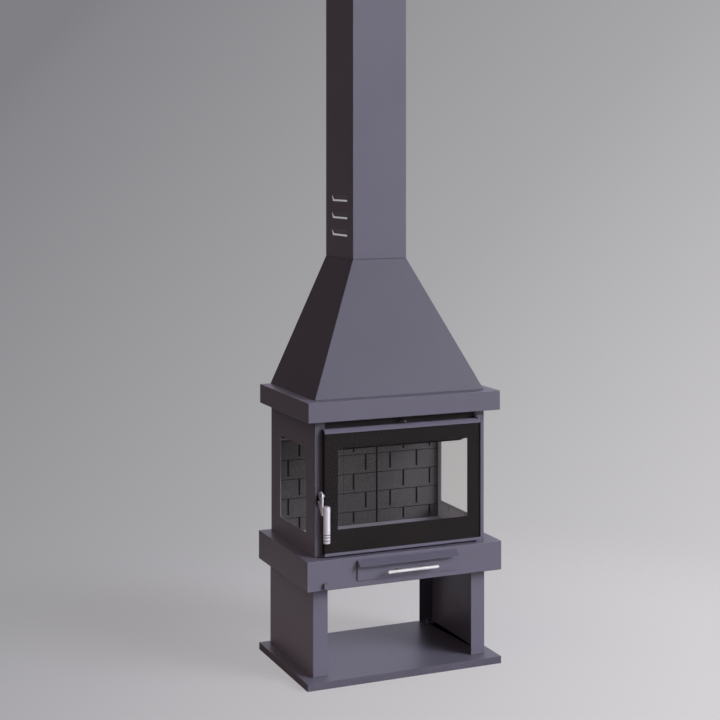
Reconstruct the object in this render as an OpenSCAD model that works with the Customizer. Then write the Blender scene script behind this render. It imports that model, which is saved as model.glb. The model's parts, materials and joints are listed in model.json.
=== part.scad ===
// Front-facing wood fireplace: a log-store base, a firebox with a glazed door and side windows,
// a mantel collar, a tapered hood and a square chimney cover, all of folded sheet steel.
// Millimetres, +Z up, front towards -Y, origin under the middle of the base plate.

/* [Overall] */
// Height from the floor to the top of the chimney cover
total_h = 2600; // [2300:10:3000]
// Clearance between pieces that move past each other
gap = 0.3; // [0.2:0.1:0.5]
// Radial clearance of a pin in its bush
run_fit = 0.08; // [0.05:0.01:0.1]

/* [Base plate] */
// Width of the base plate
base_w = 800; // [790:1:900]
// Depth of the base plate, from its front edge to the wall
base_d = 528; // [520:1:600]
// Height of the folded base tray
base_h = 27; // [22:1:40]
// Sheet of the base tray
base_t = 3; // [2:0.5:4]
// Rounding of the tray's folded corners
base_corner_r = 4; // [3.5:0.5:8]
// Width of the stiffener's crown under the tray
stiffener_w = 60; // [40:1:100]
// Width of each welding flange of the stiffener
stiffener_flange_w = 18; // [12:1:25]

/* [Legs] */
// Width over the outer faces of both legs
leg_span = 712.4; // [690:0.1:760]
// Setback of the legs from the front edge of the base
leg_front_inset = 56.7; // [40:0.1:80]
// Setback of the legs from the wall
leg_back_inset = 10.2; // [5:0.1:20]
// Width of the front and back flange of a leg
leg_flange_w = 58.6; // [50:0.1:80]
// Sheet of the legs
leg_t = 3; // [2:0.5:4]
// Depth of each bolting tab inside a leg
leg_tab_d = 44; // [36:1:60]
// Shank diameter of the leg bolts
bolt_d = 8; // [6:1:10]
// Diameter of the bolt holes
bolt_hole_d = 9; // [8.5:0.1:12]
// Width across the corners of bolt heads and nuts
bolt_hex_d = 15; // [12:0.5:18]
// Height of bolt heads and nuts
bolt_head_h = 5.5; // [4:0.5:8]

/* [Hearth shelf] */
// Height of the shelf's underside
shelf_z = 360; // [300:1:420]
// Height of the shelf box
shelf_h = 110; // [100:1:140]
// Width of the shelf box
shelf_w = 802.4; // [790:0.1:900]
// Setback of the shelf's front from the front edge of the base
shelf_front_inset = 1.5; // [0:0.1:20]
// Sheet of the shelf
shelf_t = 3; // [2:0.5:4]
// Rounding of the shelf's folded corners
shelf_corner_r = 3.5; // [3.2:0.1:6]

/* [Ash drawer] */
// Width of the drawer front
drawer_w = 406; // [380:1:430]
// Height of the drawer front
drawer_h = 74.5; // [68:0.5:84]
// Rise of the drawer front's lower edge over the shelf's underside
drawer_rise = 23.5; // [20:0.5:26]
// Sheet of the drawer front and of the pan
drawer_t = 2; // [1.5:0.5:3]
// Rounding of the drawer front's lower corners
drawer_corner_r = 6; // [3.5:0.5:12]
// Depth of the drawer front with its returned edges
drawer_front_d = 5; // [4:0.5:8]
// Reach of the visor in front of the drawer front
visor_reach = 25.4; // [20:0.1:32]
// Drop of the visor from its root to its front edge
visor_drop = 16.5; // [10:0.5:22]
// Setback of the ash pan's sides from the drawer front's ends
pan_inset = 15; // [11:1:30]
// Depth of the ash pan
pan_d = 393; // [300:1:410]
// Height of the ash pan
pan_h = 60; // [50:1:62]
// Diameter of the bar handle
bar_d = 12.5; // [10:0.5:16]
// Length of the bar handle
bar_len = 208; // [180:1:220]
// Offset of the bar handle to the right of the drawer's middle
bar_offset = 9; // [0:1:20]
// Distance from the drawer front to the bar's axis
bar_standoff = 32.5; // [28:0.5:40]
// Rise of the bar's axis over the drawer front's lower edge
bar_rise = 28.5; // [24:0.5:32]
// Distance between the two posts of the bar
post_pitch = 104; // [80:1:140]
// Diameter of the posts
post_d = 8; // [6:0.5:10]
// Sheet of the drawer runners
runner_t = 2.5; // [2:0.5:4]
// Width of the ledge that carries the pan
runner_ledge_w = 16; // [10:1:24]

/* [Air control] */
// Setback of the air rod from the shelf's right or left end
air_inset = 73.2; // [70:0.1:90]
// Height of the air rod over the shelf's underside
air_rise = 17.5; // [16:0.5:20]
// Width of the air knob
air_knob_w = 20; // [16:1:24]
// Height of the air knob
air_knob_h = 21; // [16:1:24]
// Depth of the air knob
air_knob_d = 12.7; // [8:0.1:20]
// Diameter of the air rod
air_rod_d = 8; // [6:0.5:10]
// Width of the air shutter
shutter_w = 80; // [70:1:90]
// Depth of the air shutter
shutter_d = 100; // [90:1:110]
// Sheet of the air shutter
shutter_t = 2; // [1.5:0.5:3]
// Distance from the shelf's front to the shutter's front edge at rest
shutter_setback = 142.5; // [135:0.5:150]
// Width of one air slot
air_slot_w = 12; // [8:1:14]
// Distance between two air slots
air_slot_pitch = 32; // [26:1:36]

/* [Firebox] */
// Width of the firebox
body_w = 702.4; // [690:0.1:760]
// Height of the firebox
body_h = 504; // [480:1:560]
// Setback of the firebox from the front edge of the base
body_front_inset = 51.3; // [48:0.1:60]
// Setback of the firebox from the wall
body_back_inset = 10; // [5:0.1:20]
// Sheet of the side panels
side_t = 3; // [2:0.5:4]
// Plate of the floor, top, back and front frame
plate_t = 4; // [3:0.5:6]
// Width of the side panels' front return flange
return_w = 40; // [36:1:44]
// Width of the opening in the front frame
mouth_w = 580; // [560:1:584]
// Rise of the mouth's lower edge over the shelf
mouth_rise = 34; // [30:1:40]
// Height of the opening in the front frame
mouth_h = 401; // [390:1:405]

/* [Side windows] */
// Setback of the window from the firebox front
window_inset = 90.1; // [80:0.1:100]
// Width of the window
window_w = 277.6; // [240:0.1:285]
// Rise of the window's lower edge over the shelf
window_rise = 73; // [60:1:80]
// Height of the window
window_h = 318; // [280:1:322]
// Thickness of the panes
pane_t = 4; // [3:0.5:5]
// Overlap of a pane behind its cut-out
pane_lap = 14; // [12:1:18]
// Thickness of the rope tape under the panes
tape_t = 1; // [0.8:0.1:2]
// Width of the rope tape
tape_w = 6; // [4:0.5:7]
// Sheet of the pane clips
clip_t = 1.5; // [1:0.5:2]
// Width of a pane clip
clip_w = 20; // [14:1:30]
// Overlap of a clip over its pane
clip_lap = 7; // [5:0.5:9]
// Length of a clip's foot on the panel
clip_foot = 14; // [12:1:18]
// Diameter of the clip nuts
clip_nut_d = 8; // [6:0.5:9]

/* [Lining and hearth] */
// Distance from the firebox back to the lining's face
lining_inset = 74; // [60:1:90]
// Thickness of the lining slabs
lining_t = 25; // [20:1:30]
// Height of the lining slabs
lining_h = 364; // [340:1:372]
// Width of the middle slab
centre_slab_w = 144.8; // [120:0.1:160]
// Length of a brick
brick_l = 118; // [100:1:130]
// Offset of the left slab's joints in its even courses, as a share of a brick
left_joint_share = 0.6; // [0.3:0.05:0.8]
// Place of the middle slab's upright joint in the even courses
even_joint_x = -29; // [-50:1:50]
// Place of the middle slab's upright joint in the odd courses
odd_joint_x = 24; // [-50:1:50]
// Height of a course of bricks
course_h = 76; // [60:1:80]
// Height of the lowest, cut course
first_course_h = 51.5; // [40:0.5:60]
// Width of a level joint
joint_w = 2.5; // [2:0.5:4]
// Depth of a level joint
joint_depth = 2; // [1:0.5:3]
// Width of an upright joint
slot_w = 8; // [5:0.5:10]
// Width of the seam between the middle and the right slab, at its face
seam_w = 7; // [4:0.5:10]
// Depth of an upright joint
slot_depth = 4; // [2:0.5:6]
// Sheet of the rear air duct
duct_t = 3; // [2:0.5:4]
// Depth of the retainer strip over the lining
retainer_d = 31; // [28:1:36]
// Thickness of the retainer strip
retainer_t = 3; // [2:0.5:4]
// Width of the grate
grate_w = 260; // [200:1:300]
// Depth of the grate
grate_d = 180; // [140:1:200]
// Height of the grate's rim over the firebox floor
grate_rim_h = 6; // [4:0.5:10]
// Overlap of the grate's rim on the firebox floor
grate_lap = 8; // [6:0.5:10]
// Width of a slot in the grate
grate_slot_w = 12; // [8:0.5:14]
// Distance between two slots in the grate
grate_slot_pitch = 26; // [20:1:30]

/* [Smoke path] */
// Outer diameter of the flue pipe that the spigot takes
flue_d = 200; // [150:1:205]
// Clearance of the flue pipe in the spigot
flue_fit = 0.5; // [0.3:0.1:1]
// Distance of the flue's axis from the wall
flue_wall = 138; // [130:1:145]
// Height of the spigot over the firebox top
spigot_h = 66; // [40:1:68]
// Sheet of the spigot
spigot_t = 2; // [1.5:0.5:3]
// Width of the spigot's foot flange
spigot_foot_w = 10; // [8:1:11]
// Thickness of the baffle plate
baffle_t = 25; // [20:1:30]
// Clearance between the side panes and the baffle's rails
baffle_rise = 20; // [18:1:24]
// Distance from the front frame to the baffle's front edge
smoke_gap = 145; // [120:1:180]
// Width of the baffle's rails
rail_w = 20; // [14:1:26]
// Thickness of the baffle's rails
rail_t = 3; // [2:0.5:4]
// Width of the damper plate
damper_w = 190; // [160:1:196]
// Depth of the damper plate
damper_d = 150; // [120:1:160]
// Thickness of the damper plate
damper_t = 3; // [2:0.5:4]
// Diameter of the damper rod
damper_rod_d = 8; // [6:0.5:10]
// Reach of the damper rod in front of the firebox front
damper_rod_reach = 37.3; // [25:0.1:45]
// Drop of the damper rod's axis under the firebox top
damper_rod_drop = 19; // [18:0.5:20]

/* [Air wash] */
// Sheet of the deflector
deflector_t = 2; // [1.5:0.5:3]
// Width of the deflector's low middle stretch
deflector_low_w = 496; // [460:1:520]
// Width over the deflector's raised ends
deflector_w = 552; // [530:1:570]
// Rise of the deflector's ends over its low stretch
deflector_rise = 8; // [4:0.5:12]
// Height of the deflector's lower edge over the shelf
deflector_z = 388; // [380:1:392]
// Width of a perforation in the deflector
perf_w = 10; // [6:0.5:12]
// Height of a perforation
perf_h = 4; // [2:0.5:5]
// Distance between two perforations
perf_pitch = 17; // [14:0.5:24]

/* [Door] */
// Width of the door
door_w = 646; // [630:1:660]
// Height of the door with its rails
door_h = 466; // [456:1:468]
// Gap between the shelf and the door
door_rise = 7; // [6:0.5:9]
// Gap between the firebox front and the back of the door
door_gap = 4; // [3:0.5:6]
// Depth of the door from its back to the front of its rails
door_depth = 25.3; // [23:0.1:30]
// Sheet of the door's frame and rails
door_t = 3; // [2:0.5:3.5]
// Width of the clear window in the door
door_window_w = 536; // [500:1:545]
// Height of the clear window
door_window_h = 299; // [270:1:310]
// Rise of the clear window over the door's lower edge
door_window_rise = 94; // [85:1:100]
// Height of the bottom rail's face
bottom_rail_h = 11; // [8:0.5:16]
// Height of the top rail
top_rail_h = 16; // [12:0.5:20]
// Depth of the top rail's bevel
bevel_d = 13; // [8:0.5:14]
// Width of the frame's rear flange
rear_flange_w = 33; // [28:1:36]
// Width of the door's rope seal
rope_w = 14; // [10:1:16]
// Width of the hinge brackets
hinge_w = 26; // [22:1:30]
// Thickness of the hinge brackets
hinge_t = 5; // [4:0.5:5.5]
// Diameter of the hinge pins
hinge_pin_d = 8; // [6:0.5:9]
// Diameter of the bushes in the door
hinge_bush_d = 12; // [11:0.5:12]
// Length of the hinge pins in the bushes
hinge_pin_h = 18; // [12:1:22]
// Distance from the door's right edge to the hinge axis
hinge_inset = 8; // [7.5:0.1:9]
// Distance from the door's back to the hinge axis
hinge_depth = 12; // [11:0.5:13]

/* [Door handle] */
// Distance from the door's left edge to the latch plate
latch_gap = 15; // [13:0.5:18]
// Thickness of the latch plate
latch_t = 6; // [4:0.5:8]
// Radius of the latch plate's round head
latch_head_r = 17; // [15:0.5:18]
// Distance of the latch pivot in front of the firebox front
latch_reach = 37.3; // [35:0.1:40]
// Height of the latch pivot over the shelf
latch_rise = 234; // [220:1:260]
// Diameter of the latch pivot
latch_pin_d = 10; // [8:0.5:12]
// Radius of the keeper's roller
keeper_r = 6; // [5:0.5:6.5]
// Distance from the latch pivot to the keeper's roller
keeper_dist = 25.5; // [25:0.1:26]
// Gap between the roller and the hook of the latch plate
hook_gap = 0.7; // [0.5:0.1:1.2]
// Width of the hook's nose
hook_w = 5; // [4:0.5:7]
// Diameter of the grip
grip_d = 26; // [22:0.5:30]
// Length of the grip
grip_len = 136; // [120:1:150]
// Distance from the latch pivot down to the grip's top
grip_drop = 34; // [30:0.5:36]
// Distance from the latch pivot forward to the grip's axis
grip_reach = 22.5; // [20:0.5:25]
// Distance from the latch pivot down to the end of the latch plate's fin
fin_drop = 69; // [60:1:80]
// Rounding of the grip's ends
grip_round = 4; // [2:0.5:6]
// Width of a groove round the grip
groove_w = 3; // [2:0.5:4]
// Depth of a groove round the grip
groove_depth = 1.2; // [0.5:0.1:2]

/* [Collar] */
// Width of the mantel collar
collar_w = 792.4; // [780:0.1:880]
// Height of the collar
collar_h = 74; // [70:1:100]
// Setback of the collar's front from the front edge of the base
collar_front_inset = 2.8; // [0:0.1:20]
// Sheet of the collar
collar_t = 3; // [2:0.5:4]
// Overlap of the collar's bottom lip on the firebox
collar_lap = 14; // [12:1:18]
// Rounding of the collar's folded corners
collar_corner_r = 3.5; // [3.2:0.1:6]

/* [Hood] */
// Width of the hood's foot
hood_w = 702; // [680:1:760]
// Setback of the hood's foot from the front edge of the base
hood_front_inset = 52; // [40:0.5:70]
// Height of the hood
hood_h = 502; // [440:1:560]
// Sheet of the hood
hood_t = 2; // [1.5:0.5:3]
// Width of the hood's foot flange
hood_foot_w = 22; // [18:1:30]
// Height of the hood's neck inside the chimney cover
neck_h = 28; // [20:1:40]

/* [Chimney cover] */
// Width of the chimney cover
chimney_w = 227; // [215:1:260]
// Depth of the chimney cover from its front to the wall
chimney_d = 276.5; // [265:0.5:300]
// Sheet of the chimney cover
chimney_t = 2; // [1.5:0.5:3]
// Width of the back lips of the chimney cover
lip_w = 14; // [10:1:18]
// Setback of the lowest louvre's lower edge over the cover's foot
louvre_rise = 85; // [80:1:120]
// Distance between two louvres
louvre_pitch = 68; // [50:1:80]
// Setback of the louvres from the cover's front
louvre_inset = 58; // [40:1:70]
// Length of a louvre at its upper edge
louvre_l = 162; // [120:1:170]
// Height of a louvre's cut-out
louvre_h = 28.5; // [20:0.5:34]
// Slant of the louvre's rear end
louvre_slant = 12; // [6:1:16]
// Height that a louvre's flap leaves open at its foot
louvre_open = 6.5; // [4:0.5:9]
// Width that the flap of a louvre is bent inwards
louvre_bend = 8; // [6:0.5:12]

/* [Wall brackets] */
// Thickness of the wall brackets
bracket_t = 4; // [3:0.5:5]
// Height of the wall brackets
bracket_h = 40; // [30:1:60]
// Depth of the hood bracket's foot and of the collar's back flange
hood_bracket_d = 34; // [28:1:36]
// Diameter of the wall screw holes
wall_hole_d = 8.5; // [6:0.5:11]
// Distance between the two holes of a chimney bracket
chimney_hole_pitch = 120; // [80:1:140]
// Distance between the two holes of the hood bracket
hood_hole_pitch = 400; // [300:1:440]
// Width of the hood bracket
hood_bracket_w = 520; // [460:1:560]
// Distance from the cover's top to the upper bracket
upper_bracket_drop = 100; // [60:1:200]
// Rise of the lower bracket over the cover's foot
lower_bracket_rise = 34; // [32:1:36]

/* [Cover screws] */
// Shank diameter of the cover screws
screw_d = 4.8; // [4:0.1:5]
// Diameter of their holes
screw_hole_d = 5.2; // [5.1:0.1:6]
// Diameter of their heads
screw_head_d = 9; // [7:0.5:11]
// Height of their heads
screw_head_h = 3; // [2:0.5:4]
// Length of their shanks
screw_len = 12; // [9:1:16]

/* [Hidden] */
$fn = 48;
over = 1;

// Colours
steel_grey = "#6C6978";
shade_grey = "#56535F";
matt_black = "#2A2628";
stainless = "#D5D2DE";
zinc = "#A9ABB2";
brick_grey = "#464446";
iron_black = "#37353A";
pane_tint = "#8FA0A8";
rope_grey = "#8E8A86";

// Levels and outlines
wall_y = base_d / 2;
front_y = -base_d / 2;
tray_top = base_h - base_t;
leg_x = leg_span / 2;
leg_front = front_y + leg_front_inset;
leg_back = wall_y - leg_back_inset;
shelf_x = shelf_w / 2;
air_x = shelf_x - air_inset;
shelf_front = front_y + shelf_front_inset;
shelf_top = shelf_z + shelf_h;
body_x = body_w / 2;
side_in = body_x - side_t;
body_front = front_y + body_front_inset;
body_back = wall_y - body_back_inset;
body_top = shelf_top + body_h;
frame_front = body_front + side_t;
frame_back = frame_front + plate_t;
back_front = body_back - plate_t;
floor_top = shelf_top + plate_t;
roof_bottom = body_top - plate_t;
collar_x = collar_w / 2;
collar_front = front_y + collar_front_inset;
collar_top = body_top + collar_h;
hood_x = hood_w / 2;
hood_front = front_y + hood_front_inset;
hood_top = collar_top + hood_h;
chimney_x = chimney_w / 2;
chimney_front = wall_y - chimney_d;

// Box between two corners
module block(x0, x1, y0, y1, z0, z1)
    translate([x0, y0, z0]) cube([x1 - x0, y1 - y0, z1 - z0]);

// Box with round upright corners
module round_block(x0, x1, y0, y1, z0, z1, r)
    translate([0, 0, z0]) linear_extrude(height = z1 - z0) {
        translate([x0 + r, y0]) square([x1 - x0 - 2 * r, y1 - y0]);
        translate([x0, y0 + r]) square([x1 - x0, y1 - y0 - 2 * r]);
        for (x = [x0 + r, x1 - r], y = [y0 + r, y1 - r]) translate([x, y]) circle(r = r);
    }

// Round bars along X, Y and Z
module bar_x(x0, x1, y, z, d) translate([x0, y, z]) rotate([0, 90, 0]) cylinder(h = x1 - x0, d = d);
module bar_y(y0, y1, x, z, d) translate([x, y0, z]) rotate([-90, 0, 0]) cylinder(h = y1 - y0, d = d);
module bar_z(z0, z1, x, y, d) translate([x, y, z0]) cylinder(h = z1 - z0, d = d);

// Prism along X of an outline drawn as [y, z]
module prism_x(x0, x1)
    translate([x0, 0, 0]) rotate([90, 0, 90]) linear_extrude(height = x1 - x0) children();

// Prism along Y of an outline drawn as [x, z]
module prism_y(y0, y1)
    translate([0, y1, 0]) rotate([90, 0, 0]) linear_extrude(height = y1 - y0) children();

// The child and its copy mirrored to the other side
module both_sides() {
    children();
    mirror([1, 0, 0]) children();
}

// Flat ring between two boxes in the plane of Y and Z
module ring_x(x0, x1, y0, y1, z0, z1, w)
    difference() {
        block(x0, x1, y0, y1, z0, z1);
        block(x0 - over, x1 + over, y0 + w, y1 - w, z0 + w, z1 - w);
    }

// Flat ring in the plane of X and Z
module ring_y(x1, y0, y1, z0, z1, w)
    difference() {
        block(-x1, x1, y0, y1, z0, z1);
        block(-x1 + w, x1 - w, y0 - over, y1 + over, z0 + w, z1 - w);
    }

// Base plate: a folded tray, open below
leg_bolt_x = leg_x - leg_t - leg_flange_w / 2;
leg_bolt_ys = [leg_front + leg_t + leg_tab_d / 2, leg_back - leg_t - leg_tab_d / 2];

module leg_bolt_holes(z0, z1)
    for (x = [-leg_bolt_x, leg_bolt_x], y = leg_bolt_ys) bar_z(z0, z1, x, y, bolt_hole_d);

module base_plate() color(steel_grey) difference() {
    round_block(-base_w / 2, base_w / 2, front_y, wall_y, 0, base_h, base_corner_r);
    block(-base_w / 2 + base_t, base_w / 2 - base_t, front_y + base_t, wall_y - base_t, -over, tray_top);
    leg_bolt_holes(tray_top - over, base_h + over);
}

// Stiffener: a top-hat section along the tray, its crown on the floor
module base_stiffener() color(shade_grey) {
    stiffener_x = base_w / 2 - base_t;
    crown = stiffener_w / 2;
    block(-stiffener_x, stiffener_x, -crown, crown, 0, base_t);
    for (s = [-1, 1]) scale([1, s, 1]) {
        block(-stiffener_x, stiffener_x, crown - base_t, crown, base_t, tray_top);
        block(-stiffener_x, stiffener_x, crown, crown + stiffener_flange_w, tray_top - base_t, tray_top);
    }
}

// Leg: a C-section open to the log store, with bolting tabs at its foot and head
module right_leg_shape() color(steel_grey) difference() {
    union() {
        block(leg_x - leg_t, leg_x, leg_front, leg_back, base_h, shelf_z);
        block(leg_x - leg_flange_w, leg_x - leg_t, leg_front, leg_front + leg_t, base_h, shelf_z);
        block(leg_x - leg_flange_w, leg_x - leg_t, leg_back - leg_t, leg_back, base_h, shelf_z);
        for (z = [base_h, shelf_z - leg_t]) {
            block(leg_x - leg_flange_w, leg_x - leg_t, leg_front + leg_t, leg_front + leg_t + leg_tab_d,
                  z, z + leg_t);
            block(leg_x - leg_flange_w, leg_x - leg_t, leg_back - leg_t - leg_tab_d, leg_back - leg_t,
                  z, z + leg_t);
        }
    }
    leg_bolt_holes(base_h - over, base_h + leg_t + over);
    leg_bolt_holes(shelf_z - leg_t - over, shelf_z + over);
}
module right_leg() right_leg_shape();
module left_leg() mirror([1, 0, 0]) right_leg_shape();

// One bolt through two sheets that meet at the tab, and its nut
module bolt_and_nut(head_z, up, grip) {
    scale([1, 1, up]) {
        translate([0, 0, up * head_z - bolt_head_h]) cylinder(h = bolt_head_h, d = bolt_hex_d, $fn = 6);
        translate([0, 0, up * head_z]) cylinder(h = grip + bolt_head_h + base_t, d = bolt_d);
        translate([0, 0, up * head_z + grip]) difference() {
            cylinder(h = bolt_head_h, d = bolt_hex_d, $fn = 6);
            translate([0, 0, -over]) cylinder(h = bolt_head_h + 2 * over, d = bolt_d + 2 * run_fit);
        }
    }
}
module leg_bolts() color(zinc)
    for (x = [-leg_bolt_x, leg_bolt_x], y = leg_bolt_ys) translate([x, y, 0]) {
        bolt_and_nut(tray_top, 1, base_t + leg_t);
        bolt_and_nut(shelf_z + shelf_t, -1, shelf_t + leg_t);
    }

// Hearth shelf: a folded box, open below, with the ash drop and the drawer opening
drawer_z = shelf_z + drawer_rise;
pan_x = drawer_w / 2 - pan_inset;
pan_z = drawer_z + 2 * drawer_t;
panel_back = shelf_front - gap;
panel_front = panel_back - drawer_front_d;
pan_front = panel_front + drawer_t;
pan_clear = 2 * drawer_t;
air_z = shelf_z + air_rise;

module hearth_shelf() color(steel_grey) difference() {
    round_block(-shelf_x, shelf_x, shelf_front, wall_y, shelf_z, shelf_top, shelf_corner_r);
    block(-shelf_x + shelf_t, shelf_x - shelf_t, shelf_front + shelf_t, wall_y - shelf_t,
          shelf_z - over, shelf_top - shelf_t);
    block(-grate_w / 2, grate_w / 2, -grate_d / 2, grate_d / 2, shelf_top - shelf_t - over, shelf_top + over);
    block(-pan_x - pan_clear, pan_x + pan_clear, shelf_front - over, shelf_front + shelf_t + over,
          pan_z - drawer_t, pan_z + pan_h + drawer_t);
    bar_y(shelf_front - over, shelf_front + shelf_t + over, -air_x, air_z, air_rod_d + 2 * gap);
}

// Shelf floor: closes the shelf box below, with the air inlet slots
shutter_front = shelf_front + shutter_setback;
shutter_back = shutter_front + shutter_d;
air_slot_y = (shutter_front + shutter_back) / 2;

// Slots across the shutter, shifted by half a pitch against it at rest
module air_slots(z0, z1, shift)
    for (i = [-1 : 1]) translate([0, i * air_slot_pitch + shift, 0])
        block(-air_x - shutter_w / 2 + air_slot_w, -air_x + shutter_w / 2 - air_slot_w,
              air_slot_y - air_slot_w / 2, air_slot_y + air_slot_w / 2, z0, z1);

module shelf_floor() color(shade_grey) difference() {
    block(-shelf_x + shelf_t, shelf_x - shelf_t, shelf_front + shelf_t, wall_y - shelf_t,
          shelf_z, shelf_z + shelf_t);
    leg_bolt_holes(shelf_z - over, shelf_z + shelf_t + over);
    air_slots(shelf_z - over, shelf_z + shelf_t + over, -air_slot_pitch / 2);
}

// Drawer runners: Z-sections on the shelf floor that guide and carry the pan
runner_top = shelf_z + shelf_t;
module drawer_runners() color(zinc) both_sides() {
    web = pan_x + gap;
    runner_front = shelf_front + shelf_t + gap;
    runner_back = wall_y - shelf_t - gap;
    block(web, web + runner_t, runner_front, runner_back, runner_top, pan_z + runner_ledge_w);
    block(web - runner_ledge_w, web, runner_front, runner_back, pan_z - gap - runner_t, pan_z - gap);
    block(web + runner_t, web + runner_ledge_w, runner_front, runner_back, runner_top, runner_top + runner_t);
}

// Ash pan: an open box that rides on the runners
module ash_pan() color(zinc) difference() {
    block(-pan_x, pan_x, pan_front, pan_front + pan_d, pan_z, pan_z + pan_h);
    block(-pan_x + drawer_t, pan_x - drawer_t, pan_front + drawer_t, pan_front + pan_d - drawer_t,
          pan_z + drawer_t, pan_z + pan_h + over);
}

// Drawer front: a shallow tray, open towards the pan, whose upper edge is folded out into a sloped visor
module drawer_outline(inset) {
    r = drawer_corner_r - inset;
    translate([-drawer_w / 2 + inset, drawer_z + drawer_corner_r])
        square([drawer_w - 2 * inset, drawer_h - drawer_corner_r - inset]);
    translate([-drawer_w / 2 + drawer_corner_r, drawer_z + inset]) square([drawer_w - 2 * drawer_corner_r, r]);
    for (s = [-1, 1]) translate([s * (drawer_w / 2 - drawer_corner_r), drawer_z + drawer_corner_r]) circle(r = r);
}
module drawer_front() color(steel_grey) {
    difference() {
        prism_y(panel_front, panel_back) drawer_outline(0);
        prism_y(pan_front, panel_back + over) drawer_outline(drawer_t);
    }
    visor_z = drawer_z + drawer_h;
    prism_x(-drawer_w / 2, drawer_w / 2) polygon([
        [panel_front, visor_z],
        [panel_front - visor_reach, visor_z - visor_drop],
        [panel_front - visor_reach, visor_z - visor_drop - drawer_t],
        [panel_front, visor_z - drawer_t]
    ]);
}

// Bar handle on two posts
bar_y0 = panel_front - bar_standoff;
bar_z0 = drawer_z + bar_rise;
module drawer_bar() color(stainless) {
    round_end = bar_d / 8;
    translate([bar_offset - bar_len / 2, bar_y0, bar_z0]) rotate([0, 90, 0]) rotate_extrude() {
        square([bar_d / 2 - round_end, bar_len]);
        translate([0, round_end]) square([bar_d / 2, bar_len - 2 * round_end]);
        for (h = [round_end, bar_len - round_end]) translate([bar_d / 2 - round_end, h]) circle(r = round_end);
    }
}
module drawer_posts() color(stainless)
    for (s = [-1, 1]) difference() {
        bar_y(bar_y0, panel_front, bar_offset + s * post_pitch / 2, bar_z0, post_d);
        bar_x(bar_offset + s * post_pitch / 2 - post_d, bar_offset + s * post_pitch / 2 + post_d,
              bar_y0, bar_z0, bar_d);
    }

// Air knob: a square button with rounded corners
module air_knob() color(steel_grey) {
    knob_r = air_knob_w / 6;
    prism_y(shelf_front - gap - air_knob_d, shelf_front - gap) translate([-air_x, air_z]) {
        square([air_knob_w - 2 * knob_r, air_knob_h], center = true);
        square([air_knob_w, air_knob_h - 2 * knob_r], center = true);
        for (a = [-1, 1], b = [-1, 1])
            translate([a * (air_knob_w / 2 - knob_r), b * (air_knob_h / 2 - knob_r)]) circle(r = knob_r);
    }
}

// Air shutter: a slotted plate with an upright lug and the rod to the knob
module air_shutter() color(zinc) {
    plate_z = shelf_z + shelf_t + gap;
    lug_top = air_z + air_rod_d / 2 + shutter_t;
    difference() {
        block(-air_x - shutter_w / 2, -air_x + shutter_w / 2, shutter_front, shutter_back,
              plate_z, plate_z + shutter_t);
        air_slots(plate_z - over, plate_z + shutter_t + over, 0);
    }
    block(-air_x - air_rod_d, -air_x + air_rod_d, shutter_front, shutter_front + shutter_t,
          plate_z + shutter_t, lug_top);
    bar_y(shelf_front - gap, shutter_front, -air_x, air_z, air_rod_d);
}

// Air guides: two angles that hold the shutter down on the shelf floor
module air_guides() color(zinc) for (s = [-1, 1]) translate([-air_x, 0, 0]) scale([s, 1, 1]) {
    web = shutter_w / 2 + gap;
    lip_z = shelf_z + shelf_t + shutter_t + 2 * gap;
    block(web, web + shutter_t, shutter_front, shutter_back, shelf_z + shelf_t, lip_z + shutter_t);
    block(web - 2 * shutter_t, web, shutter_front + air_rod_d, shutter_back, lip_z, lip_z + shutter_t);
}

// Firebox floor and the grate that drops into it
module firebox_floor() color(steel_grey) difference() {
    block(-side_in, side_in, frame_back, back_front, shelf_top, floor_top);
    block(-grate_w / 2 + grate_lap, grate_w / 2 - grate_lap, -grate_d / 2 + grate_lap, grate_d / 2 - grate_lap,
          shelf_top - over, floor_top + over);
}
module cast_grate() color(iron_black) difference() {
    foot = grate_lap + gap;
    union() {
        block(-grate_w / 2, grate_w / 2, -grate_d / 2, grate_d / 2, floor_top, floor_top + grate_rim_h);
        block(-grate_w / 2 + foot, grate_w / 2 - foot, -grate_d / 2 + foot, grate_d / 2 - foot,
              shelf_top - shelf_t, floor_top);
    }
    slots = floor((grate_w - 2 * foot - 2 * grate_slot_w) / grate_slot_pitch);
    for (i = [0 : slots])
        translate([(i - slots / 2) * grate_slot_pitch, 0, 0])
            block(-grate_slot_w / 2, grate_slot_w / 2, -grate_d / 2 + foot + grate_slot_w,
                  grate_d / 2 - foot - grate_slot_w, shelf_top - shelf_t - over, floor_top + grate_rim_h + over);
}

// Side panels: a flat cheek with a window and a return flange in front
window_y0 = body_front + window_inset;
window_y1 = window_y0 + window_w;
window_z0 = shelf_top + window_rise;
window_z1 = window_z0 + window_h;
hinge_x = door_w / 2 - hinge_inset;
door_back = body_front - door_gap;
hinge_y = door_back - hinge_depth;

module right_side_shape() color(steel_grey) difference() {
    union() {
        block(side_in, body_x, body_front, back_front, shelf_top, body_top);
        block(body_x - return_w, side_in, body_front, frame_front, shelf_top, body_top);
    }
    block(side_in - over, body_x + over, window_y0, window_y1, window_z0, window_z1);
}
module right_side_panel() right_side_shape();
module left_side_panel() mirror([1, 0, 0]) right_side_shape();

// Firebox back, top and front frame
module firebox_back() color(shade_grey)
    block(-body_x, body_x, back_front, body_back, shelf_top, body_top);

flue_y = wall_y - flue_wall;
flue_bore_r = flue_d / 2 + flue_fit;
module firebox_top() color(shade_grey) difference() {
    block(-side_in, side_in, frame_back, back_front, roof_bottom, body_top);
    bar_z(roof_bottom - over, body_top + over, 0, flue_y, flue_d - 2 * spigot_t);
    collar_screw_holes(roof_bottom - over, body_top + over);
}

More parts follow.
